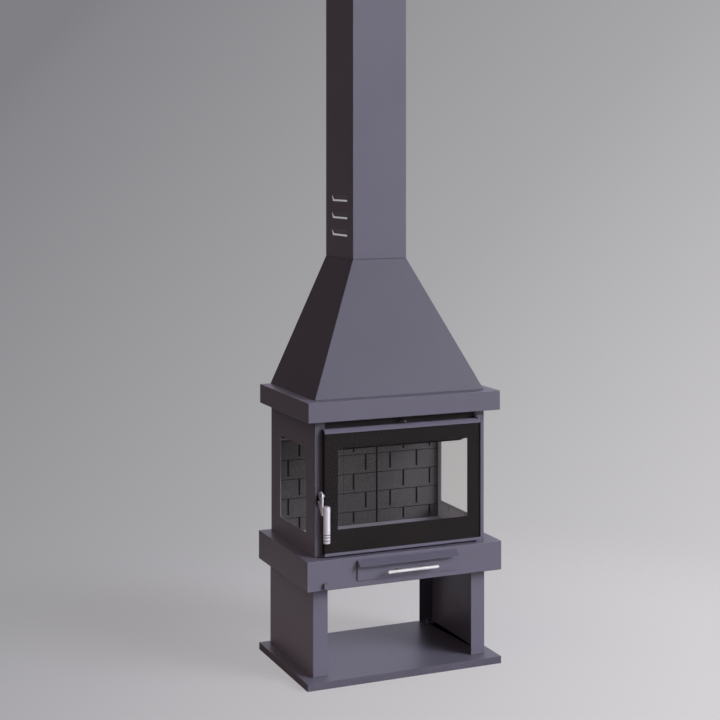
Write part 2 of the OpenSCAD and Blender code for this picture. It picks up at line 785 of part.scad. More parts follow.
damper_rod_z = body_top - damper_rod_drop;
mouth_z = shelf_top + mouth_rise;
module front_frame() color(matt_black) difference() {
    block(-side_in, side_in, frame_front, frame_back, shelf_top, body_top);
    block(-mouth_w / 2, mouth_w / 2, frame_front - over, frame_back + over, mouth_z, mouth_z + mouth_h);
    bar_y(frame_front - over, frame_back + over, 0, damper_rod_z, damper_rod_d + 2 * gap);
}

// Rear air duct: the sheet behind the lining, bent back to the firebox back at its top
lining_front = body_back - lining_inset;
lining_back = lining_front + lining_t;
lining_top = floor_top + lining_h;
duct_top = lining_top + retainer_t + duct_t;
module rear_air_duct() color(shade_grey) {
    block(-side_in, side_in, lining_back, lining_back + duct_t, floor_top, duct_top);
    block(-side_in, side_in, lining_back + duct_t, back_front, duct_top - duct_t, duct_top);
}

// Lining slab with level joints and upright joints; the courses' upright joints lie at the given places
joint_height_share = 0.84;
module lining_slab(x0, x1, even_joints, odd_joints) color(brick_grey) difference() {
    block(x0, x1, lining_front, lining_back, floor_top, lining_top);
    block(slab_x - seam_w / 2, slab_x + seam_w / 2, lining_front - over, lining_front + slot_depth,
          floor_top - over, lining_top + over);
    courses = floor((lining_h - first_course_h) / course_h);
    for (i = [0 : courses]) {
        z = floor_top + first_course_h + i * course_h;
        block(x0 - over, x1 + over, lining_front - over, lining_front + joint_depth,
              z - joint_w / 2, z + joint_w / 2);
        slot_h = joint_height_share * (i == 0 ? first_course_h : course_h);
        for (x = i % 2 == 0 ? even_joints : odd_joints)
            block(x - slot_w / 2, x + slot_w / 2, lining_front - over, lining_front + slot_depth,
                  z - slot_h, z);
    }
}
slab_x = centre_slab_w / 2;
half_brick = brick_l / 2;
module right_lining()
    lining_slab(slab_x, side_in, [slab_x + brick_l, slab_x + 2 * brick_l],
                [slab_x + half_brick, slab_x + half_brick + brick_l]);
module left_lining()
    lining_slab(-side_in, -slab_x,
                [-slab_x - left_joint_share * brick_l, -slab_x - (1 + left_joint_share) * brick_l],
                [-slab_x - brick_l, -slab_x - 2 * brick_l]);
module centre_lining()
    lining_slab(-slab_x, slab_x, [even_joint_x], [odd_joint_x]);

// Retainer: a strip over the lining's top edge
module lining_retainer() color(steel_grey)
    block(-side_in, side_in, lining_back - retainer_d, lining_back, lining_top, lining_top + retainer_t);

// Baffle plate over the fire, on rails along both sides
pane_top = window_z1 + pane_lap;
rail_z = pane_top + baffle_rise;
baffle_front = frame_back + smoke_gap;
module baffle_rails() color(shade_grey) both_sides() {
    block(side_in - rail_w, side_in, baffle_front, back_front, rail_z - rail_t, rail_z);
    block(side_in - rail_t, side_in, baffle_front, back_front, rail_z, rail_z + rail_w);
}
module baffle_plate() color(brick_grey)
    block(-side_in + rail_t + gap, side_in - rail_t - gap, baffle_front, back_front - gap,
          rail_z, rail_z + baffle_t);

// Air-wash deflector: a perforated strip behind the mouth's upper edge, its ends swept up
deflector_steps = 8;
function ease(t) = t * t * (3 - 2 * t);
function sweep_up(s) = [for (i = [0 : deflector_steps]) let (t = s > 0 ? i / deflector_steps : 1 - i / deflector_steps)
    [s * (deflector_low_w / 2 + t * (deflector_w - deflector_low_w) / 2),
     shelf_top + deflector_z + deflector_rise * ease(t)]];
module air_wash_deflector() color(shade_grey) difference() {
    deflector_top = mouth_z + mouth_h + perf_pitch;
    perf_z = shelf_top + deflector_z + deflector_rise;
    prism_y(frame_back, frame_back + deflector_t) polygon(concat(
        [[-deflector_w / 2, deflector_top]], sweep_up(-1), sweep_up(1), [[deflector_w / 2, deflector_top]]
    ));
    count = floor((deflector_low_w - perf_w) / perf_pitch);
    for (i = [0 : count]) translate([(i - count / 2) * perf_pitch, 0, 0])
        block(-perf_w / 2, perf_w / 2, frame_back - over, frame_back + deflector_t + over,
              perf_z - perf_h / 2, perf_z + perf_h / 2);
}

// Side panes, the tape under them and the clips that hold them
pane_y0 = window_y0 - pane_lap;
pane_y1 = window_y1 + pane_lap;
pane_z0 = window_z0 - pane_lap;
tape_in = side_in - tape_t;
pane_in = tape_in - pane_t;
module right_glass_shape() color(pane_tint) block(pane_in, tape_in, pane_y0, pane_y1, pane_z0, pane_top);
module right_window_glass() right_glass_shape();
module left_window_glass() mirror([1, 0, 0]) right_glass_shape();
module right_tape_shape() color(rope_grey) {
    edge = (pane_lap - tape_w) / 2;
    ring_x(tape_in, side_in, pane_y0 + edge, pane_y1 - edge, pane_z0 + edge, pane_top - edge, tape_w);
}
module right_window_tape() right_tape_shape();
module left_window_tape() mirror([1, 0, 0]) right_tape_shape();

// Clip outline in X and Z at the pane's lower edge: foot on the panel, step over the pane
module clip_and_nut() {
    edge = pane_z0 - gap;
    prism_y(-clip_w / 2, clip_w / 2) polygon([
        [side_in, edge],
        [side_in, edge - clip_foot],
        [side_in - clip_t, edge - clip_foot],
        [side_in - clip_t, edge - clip_t],
        [pane_in - clip_t, edge - clip_t],
        [pane_in - clip_t, edge + clip_lap],
        [pane_in, edge + clip_lap],
        [pane_in, edge]
    ]);
    bar_x(side_in - clip_t - pane_t, side_in - clip_t, 0, edge - clip_foot / 2 - clip_t / 2, clip_nut_d);
}
window_mid_z = (pane_z0 + pane_top) / 2;
quarter_share = 0.25;
module window_clips() color(zinc) both_sides()
    for (share = [quarter_share, 1 - quarter_share]) translate([0, window_y0 + share * window_w, 0]) {
        clip_and_nut();
        translate([0, 0, 2 * window_mid_z]) mirror([0, 0, 1]) clip_and_nut();
    }

// Flue spigot on the firebox top
module flue_spigot() color(shade_grey) difference() {
    union() {
        bar_z(body_top, body_top + spigot_h, 0, flue_y, 2 * (flue_bore_r + spigot_t));
        bar_z(body_top, body_top + spigot_t, 0, flue_y, 2 * (flue_bore_r + spigot_t + spigot_foot_w));
    }
    bar_z(body_top - over, body_top + spigot_h + over, 0, flue_y, 2 * flue_bore_r);
}

// Damper: a plate that slides under the flue on two hanging guides, drawn by a rod
damper_z = damper_rod_z + damper_rod_d / 2 + over;
damper_front = flue_y - damper_d / 2;
damper_lug_y = damper_front + 2 * damper_rod_d;
module damper_plate() color(shade_grey)
    block(-damper_w / 2, damper_w / 2, damper_front, damper_front + damper_d, damper_z, damper_z + damper_t);
module damper_rod() color(steel_grey) {
    rod_front = body_front - damper_rod_reach + damper_rod_d / 2;
    bar_y(rod_front, damper_lug_y, 0, damper_rod_z, damper_rod_d);
    translate([0, rod_front, damper_rod_z]) sphere(d = damper_rod_d);
    block(-damper_rod_d, damper_rod_d, damper_lug_y, damper_lug_y + damper_rod_d,
          damper_rod_z - damper_rod_d / 2, damper_z);
}
module damper_guides() color(shade_grey) both_sides() {
    web = damper_w / 2 + gap;
    guide_front = frame_back + gap;
    guide_back = damper_front + damper_d + 2 * rail_t;
    ledge_top = damper_z - gap;
    block(web, web + rail_t, guide_front, guide_back, ledge_top - rail_t, roof_bottom);
    block(web - 3 * rail_t, web, guide_front, guide_back, ledge_top - rail_t, ledge_top);
}

// Door frame: a front flange behind the pane, a rim round it and a rear flange for the rope
door_x = door_w / 2;
door_z0 = shelf_top + door_rise;
door_z1 = door_z0 + door_h;
door_front = door_back - door_depth;
pane_front = door_front + door_t;
flange_front = pane_front + pane_t;
flange_back = flange_front + door_t;
clear_x = door_window_w / 2;
clear_z0 = door_z0 + door_window_rise;
frame_z0 = door_z0 + door_t;
frame_z1 = door_z1 - door_t;

module door_bush_cuts(d) {
    bar_z(frame_z1 - hinge_pin_h, door_z1 + over, hinge_x, hinge_y, d);
    bar_z(door_z0 - over, frame_z0 + hinge_pin_h, hinge_x, hinge_y, d);
}

// Height of the top rail's bevel at a depth, and of the faces one and two sheets below it
bevel_back = door_front + bevel_d;
bevel_foot = door_z1 - top_rail_h + door_t;
bevel_slope_share = (door_z1 - bevel_foot) / bevel_d;
function bevel_z(y, sheets) = bevel_foot + (y - door_front) * bevel_slope_share - sheets * door_t * 3 / 2;
function bevel_y(z, sheets) = door_front + (z + sheets * door_t * 3 / 2 - bevel_foot) / bevel_slope_share;

module door_frame() color(matt_black) difference() {
    union() {
        difference() {
            prism_x(-door_x, door_x) polygon([
                [flange_front, frame_z0],
                [door_back, frame_z0],
                [door_back, frame_z1],
                [bevel_y(frame_z1, 1), frame_z1],
                [flange_front, bevel_z(flange_front, 1)]
            ]);
            prism_x(-door_x + door_t, door_x - door_t) polygon([
                [flange_back, frame_z0 + door_t],
                [door_back - door_t, frame_z0 + door_t],
                [door_back - door_t, frame_z1 - door_t],
                [bevel_y(frame_z1 - door_t, 2), frame_z1 - door_t],
                [flange_back, bevel_z(flange_back, 2)]
            ]);
            block(-clear_x, clear_x, flange_front - over, flange_back + over, clear_z0, clear_z0 + door_window_h);
            block(-door_x + rear_flange_w, door_x - rear_flange_w, door_back - door_t - over, door_back + over,
                  frame_z0 + rear_flange_w, frame_z1 - rear_flange_w);
        }
        both_sides() block(door_x - door_t, door_x, pane_front, flange_front, frame_z0, bevel_z(pane_front, 1));
    }
    door_bush_cuts(hinge_bush_d + gap);
}

// Door rails: folded strips that clamp the pane; the top one has a bevelled shoulder
module door_top_rail() color(steel_grey) difference() {
    prism_x(-door_x, door_x) polygon([
        [door_front, door_z1 - top_rail_h],
        [door_front, bevel_foot],
        [bevel_back, door_z1],
        [door_back, door_z1],
        [door_back, frame_z1],
        [bevel_y(frame_z1, 1), frame_z1],
        [pane_front, bevel_z(pane_front, 1)],
        [pane_front, door_z1 - top_rail_h]
    ]);
    door_bush_cuts(hinge_bush_d + gap);
}
module door_bottom_rail() color(steel_grey) difference() {
    prism_x(-door_x, door_x) polygon([
        [door_front, door_z0],
        [door_front, door_z0 + bottom_rail_h],
        [pane_front, door_z0 + bottom_rail_h],
        [pane_front, frame_z0],
        [door_back, frame_z0],
        [door_back, door_z0]
    ]);
    door_bush_cuts(hinge_bush_d + gap);
}

// Door pane, from rail to rail and from rim to rim
module door_glass() color(pane_tint)
    block(-door_x + door_t + gap, door_x - door_t - gap, pane_front, flange_front,
          frame_z0 + gap, bevel_z(pane_front, 1) - gap);

// Rope seal on the back of the door, just clear of the front frame
module door_rope_seal() color(rope_grey) {
    rope_x = body_x - return_w - 2 * gap;
    rope_back = frame_front - gap;
    ring_y(rope_x, door_back, rope_back, frame_z0 + gap + (rear_flange_w - rope_w) / 2,
           frame_z1 - gap - (rear_flange_w - rope_w) / 2, rope_w);
}

// Hinges: brackets with a pin on the firebox front, bushes in the door
bush_top = door_z1 + door_rise - gap * 3;
bracket_front = hinge_y - hinge_w / 3;
lower_bracket_top = shelf_top + hinge_t - gap;
bush_bottom = shelf_top + hinge_t;
module hinge_brackets() color(steel_grey) {
    x0 = hinge_x - hinge_w / 2;
    x1 = hinge_x + hinge_w / 2;
    upper_z = bush_top + gap;
    round_block(x0, x1, bracket_front, body_front, upper_z, upper_z + hinge_t, hinge_w / 5);
    bar_z(frame_z1 - hinge_pin_h, upper_z, hinge_x, hinge_y, hinge_pin_d);
    round_block(x0, x1, bracket_front, body_front, shelf_top, lower_bracket_top, hinge_w / 5);
    bar_z(lower_bracket_top, frame_z0 + hinge_pin_h, hinge_x, hinge_y, hinge_pin_d);
}
module door_hinge_bushes() color(steel_grey) difference() {
    union() {
        bar_z(frame_z1 - hinge_pin_h, bush_top, hinge_x, hinge_y, hinge_bush_d);
        bar_z(bush_bottom, frame_z0 + hinge_pin_h, hinge_x, hinge_y, hinge_bush_d);
    }
    bar_z(shelf_top, body_top, hinge_x, hinge_y, hinge_pin_d + 2 * run_fit);
}

// Latch: a lug on the door's left side carries the pivot of the handle
latch_y = body_front - latch_reach;
latch_z = shelf_top + latch_rise;
latch_x1 = -door_x - latch_gap;
latch_x0 = latch_x1 - latch_t;
lug_t = plate_t;
module latch_lug() color(matt_black) difference() {
    lug_r = latch_head_r * 2 / 3;
    prism_x(-door_x - lug_t, -door_x) {
        translate([latch_y, latch_z]) circle(r = lug_r);
        translate([latch_y, latch_z - lug_r]) square([door_back - latch_y - gap, 2 * lug_r]);
    }
    bar_x(-door_x - lug_t - over, -door_x + over, latch_y, latch_z, latch_pin_d + 2 * run_fit);
}
module latch_pivot() color(zinc) {
    head_t = latch_t / 4;
    bar_x(latch_x0 - gap, -door_x, latch_y, latch_z, latch_pin_d);
    bar_x(latch_x0 - gap - head_t, latch_x0 - gap, latch_y, latch_z, latch_pin_d + 2 * head_t);
    bar_x(latch_x1 + gap, -door_x - lug_t, latch_y, latch_z, latch_pin_d + 2 * head_t);
}

// Latch plate: a round head on the pivot, a hook round the keeper's roller and a fin into the grip
hook_in = keeper_dist + keeper_r + hook_gap;
hook_out = hook_in + hook_w;
hook_angle = -60;
hook_tip_angle = -42;
notch_angle = -78;
grip_y = latch_y - grip_reach;
grip_top = latch_z - grip_drop;
grip_x = latch_x1 + grip_d / 2 - latch_t / 2;
function around_latch(r, a) = [latch_y + r * cos(a), latch_z + r * sin(a)];
module latch_plate() color(stainless) difference() {
    front = latch_y - latch_head_r + gap;
    union() {
        bar_x(latch_x0, latch_x1, latch_y, latch_z, 2 * latch_head_r);
        difference() {
            prism_x(latch_x0, latch_x1) polygon([
                [front, latch_z],
                [latch_y, latch_z],
                around_latch(hook_out, hook_tip_angle),
                around_latch(hook_out, (hook_tip_angle + hook_angle) / 2),
                [latch_y - latch_head_r / 2, latch_z - fin_drop],
                [front, latch_z - fin_drop]
            ]);
            intersection() {
                bar_x(latch_x0 - over, latch_x1 + over, latch_y, latch_z, 2 * hook_in);
                prism_x(latch_x0 - over, latch_x1 + over) polygon([
                    around_latch(latch_head_r / 2, notch_angle),
                    around_latch(3 * hook_in, notch_angle),
                    around_latch(3 * hook_in, notch_angle + 90),
                    around_latch(latch_head_r / 2, notch_angle + 90)
                ]);
            }
        }
    }
    bar_x(latch_x0 - over, latch_x1 + over, latch_y, latch_z, latch_pin_d + 2 * run_fit);
}

// Grip: a round bar with rounded ends and three grooves near its foot, cut away for the latch plate
groove_spacings = [groove_w * 4, groove_w * 8, groove_w * 11];
module handle_grip() color(stainless) difference() {
    translate([grip_x, grip_y, grip_top - grip_len]) rotate_extrude() difference() {
        union() {
            square([grip_d / 2 - grip_round, grip_len]);
            translate([0, grip_round]) square([grip_d / 2, grip_len - 2 * grip_round]);
            for (h = [grip_round, grip_len - grip_round])
                translate([grip_d / 2 - grip_round, h]) circle(r = grip_round);
        }
        for (h = groove_spacings) translate([grip_d / 2 - groove_depth, h - groove_w / 2])
            square([groove_depth + over, groove_w]);
    }
    block(latch_x0, latch_x1, latch_y - latch_head_r + gap, latch_y + latch_head_r, latch_z - fin_drop,
          grip_top + over);
}

// Keeper: an ear on the firebox front with a roller beside the latch plate's notch
keeper_y = around_latch(keeper_dist, hook_angle)[0];
keeper_z = around_latch(keeper_dist, hook_angle)[1];
ear_x0 = latch_x1 + latch_t + 2 * gap;
module latch_keeper() color(matt_black) {
    prism_x(ear_x0, ear_x0 + side_t) {
        translate([keeper_y, keeper_z]) circle(r = 2 * keeper_r);
        translate([keeper_y, keeper_z - 2 * keeper_r]) square([body_front - keeper_y - side_t, 4 * keeper_r]);
    }
    block(latch_x0, ear_x0 + side_t, body_front - side_t, body_front,
          keeper_z - 3 * keeper_r, keeper_z + 3 * keeper_r);
}
module keeper_roller() color(zinc) bar_x(latch_x1 + 2 * gap, ear_x0, keeper_y, keeper_z, 2 * keeper_r);

// Collar: a folded mantel box with a flue opening on top and a lip below that rests on the firebox
collar_hole_x = hood_x - 2 * hood_foot_w;
collar_hole_back = wall_y - hood_bracket_d;
collar_hole_front = hood_front + 2 * hood_foot_w;
collar_lip_x = body_x - collar_lap;
collar_lip_front = body_front + collar_lap;
collar_screw_share = 0.6;
hood_screw_share = 0.8;
module collar_screw_holes(z0, z1) {
    for (x = [-1, 1], y = [-1, 1] * collar_screw_share)
        bar_z(z0, z1, x * (side_in - collar_lap / 2 - side_t / 2), y * body_back, screw_hole_d);
}
module hood_screw_places() {
    for (x = [-1, 0, 1] * hood_screw_share) translate([x * hood_x, hood_front + hood_foot_w * 2 / 3, 0]) children();
    for (x = [-1, 1], y = [0, hood_screw_share])
        translate([x * (hood_x - hood_foot_w * 2 / 3), y * wall_y, 0]) children();
}
module collar() color(steel_grey) difference() {
    round_block(-collar_x, collar_x, collar_front, wall_y, body_top, collar_top, collar_corner_r);
    block(-collar_x + collar_t, collar_x - collar_t, collar_front + collar_t, wall_y - collar_t,
          body_top + collar_t, collar_top - collar_t);
    block(-collar_lip_x, collar_lip_x, collar_lip_front, body_back - collar_lap, body_top - over, body_top + 2 * collar_t);
    block(-collar_hole_x, collar_hole_x, collar_hole_front, collar_hole_back, collar_top - 2 * collar_t, collar_top + over);
    collar_lip_screw_holes();
    hood_screw_places() translate([0, 0, collar_top - 2 * collar_t]) cylinder(h = 3 * collar_t, d = screw_hole_d);
    for (s = [-1, 1]) bar_z(collar_top - 2 * collar_t, collar_top + over, s * hood_bracket_screw_x,
                            hood_bracket_screw_y, screw_hole_d);
}
module collar_lip_screw_holes() collar_screw_holes(body_top - over, body_top + 2 * collar_t);

// Hood: three sloped sheets, open to the wall, with a foot flange and a neck
module wedge(x0, x1, y0, y1, back, z0, z1) polyhedron(
    points = [
        [-x0, y0, z0], [x0, y0, z0], [x0, back, z0], [-x0, back, z0],
        [-x1, y1, z1], [x1, y1, z1], [x1, back, z1], [-x1, back, z1]
    ],
    faces = [[0, 1, 2, 3], [7, 6, 5, 4], [4, 5, 1, 0], [5, 6, 2, 1], [6, 7, 3, 2], [7, 4, 0, 3]]
);
hood_slope_share = (hood_x - chimney_x) / hood_h;
hood_rake_share = (chimney_front - hood_front) / hood_h;
neck_x = chimney_x - chimney_t - gap;
neck_y = chimney_front + chimney_t + gap;
neck_back = wall_y - bracket_t - chimney_t - gap;
module hood() color(steel_grey) {
    difference() {
        wedge(hood_x, chimney_x, hood_front, chimney_front, wall_y, collar_top, hood_top);
        wedge(hood_x - hood_t + over * hood_slope_share, neck_x - hood_t / 2 - over * hood_slope_share,
              hood_front + hood_t - over * hood_rake_share, neck_y + hood_t / 2 + over * hood_rake_share,
              wall_y + over, collar_top - over, hood_top + over);
    }
    difference() {
        block(-hood_x + hood_t, hood_x - hood_t, hood_front + hood_t, wall_y, collar_top, collar_top + hood_t);
        block(-hood_x + hood_foot_w, hood_x - hood_foot_w, hood_front + hood_foot_w, wall_y + over,
              collar_top - over, collar_top + hood_t + over);
        hood_screw_places() translate([0, 0, collar_top - over]) cylinder(h = hood_t + 2 * over, d = screw_hole_d);
    }
    difference() {
        block(-neck_x, neck_x, neck_y, neck_back, hood_top - hood_t, hood_top + neck_h);
        block(-neck_x + hood_t, neck_x - hood_t, neck_y + hood_t, neck_back + over,
              hood_top - hood_t - over, hood_top + neck_h + over);
    }
}

// Chimney cover: a folded channel, open to the wall, with louvres in both sides
lip_y1 = wall_y - bracket_t;
louvre_y0 = chimney_front + louvre_inset;
module louvre_slab(z, x0, x1) prism_x(x0, x1) polygon([
    [louvre_y0, z],
    [louvre_y0 + louvre_l - louvre_slant, z],
    [louvre_y0 + louvre_l, z + louvre_h],
    [louvre_y0, z + louvre_h]
]);
module louvre_flap(z) intersection() {
    prism_y(louvre_y0, louvre_y0 + louvre_l) polygon([
        [chimney_x, z + louvre_h],
        [chimney_x - louvre_bend, z + louvre_open],
        [chimney_x - louvre_bend - chimney_t, z + louvre_open],
        [chimney_x - chimney_t, z + louvre_h]
    ]);
    louvre_slab(z, chimney_x - 2 * louvre_bend, chimney_x);
}
module chimney_cover() color(steel_grey) {
    difference() {
        block(-chimney_x, chimney_x, chimney_front, wall_y, hood_top, total_h);
        block(-chimney_x + chimney_t, chimney_x - chimney_t, chimney_front + chimney_t, lip_y1 - chimney_t,
              hood_top - over, total_h + over);
        block(-chimney_x + chimney_t, chimney_x - chimney_t, lip_y1, wall_y + over, hood_top - over, total_h + over);
        block(-chimney_x + lip_w, chimney_x - lip_w, lip_y1 - 2 * chimney_t, wall_y, hood_top - over, total_h + over);
        both_sides() for (i = [0 : 2])
            louvre_slab(hood_top + louvre_rise + i * louvre_pitch, chimney_x - chimney_t - over, chimney_x + over);
        for (z = bracket_levels, s = [-1, 1])
            bar_y(lip_y1 - 2 * chimney_t, lip_y1 + over, s * bracket_screw_x, z, screw_hole_d);
    }
    both_sides() for (i = [0 : 2]) louvre_flap(hood_top + louvre_rise + i * louvre_pitch);
}

// Wall brackets: bars behind the cover's lips, and an angle on the collar
bracket_screw_x = chimney_x - lip_w + (lip_w - chimney_t) / 2;
upper_bracket_z = total_h - upper_bracket_drop;
lower_bracket_z = hood_top + lower_bracket_rise;
bracket_levels = [lower_bracket_z, upper_bracket_z];
hood_bracket_screw_x = hood_bracket_w / 2 - bracket_h;
hood_bracket_screw_y = wall_y - hood_bracket_d / 2;
module chimney_bracket(z) color(zinc) difference() {
    block(-chimney_x + chimney_t + gap, chimney_x - chimney_t - gap, lip_y1, wall_y, z - bracket_h / 2, z + bracket_h / 2);
    for (s = [-1, 1]) {
        bar_y(lip_y1 - over, wall_y + over, s * chimney_hole_pitch / 2, z, wall_hole_d);
        bar_y(lip_y1 - over, wall_y + over, s * bracket_screw_x, z, screw_hole_d);
    }
}
module upper_wall_bracket() chimney_bracket(upper_bracket_z);
module lower_wall_bracket() chimney_bracket(lower_bracket_z);
hood_bracket_z = collar_top + bracket_h * 2 / 3;
module hood_wall_bracket() color(zinc) difference() {
    union() {
        block(-hood_bracket_w / 2, hood_bracket_w / 2, wall_y - hood_bracket_d, wall_y, collar_top,
              collar_top + bracket_t);
        block(-hood_bracket_w / 2, hood_bracket_w / 2, wall_y - bracket_t, wall_y, collar_top + bracket_t,
              collar_top + bracket_h);
    }
    for (s = [-1, 1]) {
        bar_y(wall_y - bracket_t - over, wall_y + over, s * hood_hole_pitch / 2, hood_bracket_z, wall_hole_d);
        bar_z(collar_top - over, collar_top + bracket_t + over, s * hood_bracket_screw_x, hood_bracket_screw_y,
              screw_hole_d);
    }
}

// Cover screws: one pan-head screw, head on top, at every hole of the covers
module screw() {
    cylinder(h = screw_head_h, d = screw_head_d);
    translate([0, 0, -screw_len]) cylinder(h = screw_len, d = screw_d);
}
module cover_screws() color(zinc) {
    for (x = [-1, 1], y = [-1, 1] * collar_screw_share)
        translate([x * (side_in - collar_lap / 2 - side_t / 2), y * body_back, body_top + collar_t]) screw();
    hood_screw_places() translate([0, 0, collar_top + hood_t]) screw();
    for (s = [-1, 1]) translate([s * hood_bracket_screw_x, hood_bracket_screw_y, collar_top + bracket_t]) screw();
    for (z = bracket_levels, s = [-1, 1])
        translate([s * bracket_screw_x, lip_y1 - chimney_t, z]) rotate([90, 0, 0]) screw_short();
}
// The bracket screws end inside the bracket, so the wall stays clear
module screw_short() {
    cylinder(h = screw_head_h, d = screw_head_d);
    translate([0, 0, -chimney_t - bracket_t]) cylinder(h = chimney_t + bracket_t, d = screw_d);
}

base_plate();
base_stiffener();
left_leg();
right_leg();
leg_bolts();
shelf_floor();
hearth_shelf();
drawer_runners();
air_guides();
firebox_floor();
cast_grate();
left_side_panel();
right_side_panel();
firebox_back();
firebox_top();
front_frame();
rear_air_duct();
left_lining();
centre_lining();
right_lining();
lining_retainer();
baffle_rails();
baffle_plate();
air_wash_deflector();
left_window_glass();
right_window_glass();
left_window_tape();
right_window_tape();
window_clips();
flue_spigot();
damper_guides();
hinge_brackets();
latch_keeper();
keeper_roller();
collar();
cover_screws();
hood();
chimney_cover();
upper_wall_bracket();
lower_wall_bracket();
hood_wall_bracket();
door_frame();
door_top_rail();
door_bottom_rail();
door_glass();
door_rope_seal();
door_hinge_bushes();
latch_lug();
latch_pivot();
latch_plate();
handle_grip();
ash_pan();
drawer_front();
drawer_bar();
drawer_posts();
air_knob();
air_shutter();
damper_plate();
damper_rod();
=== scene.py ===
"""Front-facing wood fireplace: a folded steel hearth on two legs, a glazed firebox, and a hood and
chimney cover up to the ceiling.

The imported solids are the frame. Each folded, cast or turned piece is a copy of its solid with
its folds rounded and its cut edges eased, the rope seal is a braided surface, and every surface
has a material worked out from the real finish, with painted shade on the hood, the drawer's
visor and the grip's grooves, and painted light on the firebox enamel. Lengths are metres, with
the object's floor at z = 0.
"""
import json
import math

import bmesh
import bpy
import numpy as np
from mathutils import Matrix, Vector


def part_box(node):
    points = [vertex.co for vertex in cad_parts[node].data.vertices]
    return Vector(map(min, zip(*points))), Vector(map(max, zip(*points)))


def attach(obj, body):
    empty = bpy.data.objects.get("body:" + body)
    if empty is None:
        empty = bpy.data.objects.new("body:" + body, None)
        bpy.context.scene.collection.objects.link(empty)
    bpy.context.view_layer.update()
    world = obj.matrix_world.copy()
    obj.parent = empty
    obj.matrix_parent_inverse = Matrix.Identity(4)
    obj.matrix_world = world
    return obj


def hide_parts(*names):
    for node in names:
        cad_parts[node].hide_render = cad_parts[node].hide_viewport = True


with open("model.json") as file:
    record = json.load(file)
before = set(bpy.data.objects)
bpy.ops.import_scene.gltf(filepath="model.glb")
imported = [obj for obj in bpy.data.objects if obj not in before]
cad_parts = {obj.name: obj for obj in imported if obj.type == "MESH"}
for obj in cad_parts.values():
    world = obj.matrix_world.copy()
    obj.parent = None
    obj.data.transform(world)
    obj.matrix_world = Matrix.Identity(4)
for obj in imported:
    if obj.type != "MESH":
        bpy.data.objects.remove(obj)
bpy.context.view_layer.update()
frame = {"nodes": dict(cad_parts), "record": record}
NODES = frame["nodes"]
MM = 0.001


def placed(name, data):
    """A new object of the scene, with these data."""
    made = bpy.data.objects.new(name, data)
    bpy.context.scene.collection.objects.link(made)
    return made


# ---------------------------------------------------------------- colours

def linear(code):
    """The linear RGBA of an sRGB hex colour: of each channel c, c/12.92 up to 0.04045, else
    ((c + 0.055)/1.055)^2.4."""
    values = [int(code[i:i + 2], 16) / 255.0 for i in (1, 3, 5)]
    return tuple(c / 12.92 if c <= 0.04045 else ((c + 0.055) / 1.055) ** 2.4
                 for c in values) + (1.0,)


# ---------------------------------------------------------------- shader nodes

def add(tree, kind, inputs=None, **settings):
    """Adds one shader node with its settings. Each of the inputs named is given a value, a hex
    colour, or the output of another node, which is linked to it."""
    node = tree.nodes.new(kind)
    for name, value in settings.items():
        setattr(node, name, value)
    for socket, value in (inputs or {}).items():
        if isinstance(value, bpy.types.NodeSocket):
            tree.links.new(value, node.inputs[socket])
        else:
            node.inputs[socket].default_value = linear(value) if isinstance(value, str) else value
    return node


# Sockets of the Mix node when it mixes colours: its factor, its two colours and its result
FACTOR, FIRST, SECOND, MIXED = 0, 6, 7, 2
NOISE_LOW, NOISE_HIGH = 0.3, 0.7   # the usual range of a noise pattern


def blank(name, even=None):
    """A new material with a Principled surface, and its tree, shader and Object coordinates. even
    holds what is the same all over the surface."""
    material = bpy.data.materials.new(name)
    material.use_nodes = True
    tree = material.node_tree
    tree.nodes.clear()
    shader = add(tree, "ShaderNodeBsdfPrincipled", even)
    add(tree, "ShaderNodeOutputMaterial", {"Surface": shader.outputs["BSDF"]})
    place = add(tree, "ShaderNodeTexCoord").outputs["Object"]
    return material, tree, shader, place


def grained(tree, shader, place, size_mm, detail=2.0, grit=0.5,
            shades=None, roughness=None, relief=None):
    """A grain or cloud of irregular blotches about size_mm across, and what it does to a surface.
    It mixes two shades, moves the roughness between two values, and raises bumps of a depth in
    mm and a strength, as far as these are given. The mixed shade is returned."""
    pattern = add(tree, "ShaderNodeTexNoise", {"Vector": place, "Scale": 1.0 / (size_mm * MM),
                                               "Detail": detail, "Roughness": grit}).outputs["Fac"]
    usual = {"Value": pattern, "From Min": NOISE_LOW, "From Max": NOISE_HIGH}
    shade = None
    if shades:
        share = add(tree, "ShaderNodeMapRange", usual).outputs["Result"]
        shade = add(tree, "ShaderNodeMix", {FACTOR: share, FIRST: shades[0], SECOND: shades[1]},
                    data_type="RGBA").outputs[MIXED]
        tree.links.new(shade, shader.inputs["Base Color"])
    if roughness:
        moved = add(tree, "ShaderNodeMapRange",
                    {**usual, "To Min": roughness[0], "To Max": roughness[1]})
        tree.links.new(moved.outputs["Result"], shader.inputs["Roughness"])
    if relief:
        bump = add(tree, "ShaderNodeBump",
                   {"Height": pattern, "Distance": relief[0] * MM, "Strength": relief[1]})
        tree.links.new(bump.outputs["Normal"], shader.inputs["Normal"])
    return shade


# ---------------------------------------------------------------- materials

CLOUD_MM = 260.0          # broad clouds in a coat's shade
ROUGHNESS_SWING = 0.05    # how far a coat's grain moves its roughness either way
COAT_BUMPS = 0.35         # strength of a coat's relief


def coated_steel(name, light, dark, roughness, specular, grain_mm=2.5, depth_mm=0.05):
    """Sheet steel under a baked coat: two near shades in broad clouds, and a fine even grain."""
    material, tree, shader, place = blank(name, {"Specular IOR Level": specular})
    grained(tree, shader, place, CLOUD_MM, shades=(light, dark))
    grained(tree, shader, place, grain_mm, detail=3.0, relief=(depth_mm, COAT_BUMPS),
            roughness=(roughness - ROUGHNESS_SWING, roughness + ROUGHNESS_SWING))
    return material


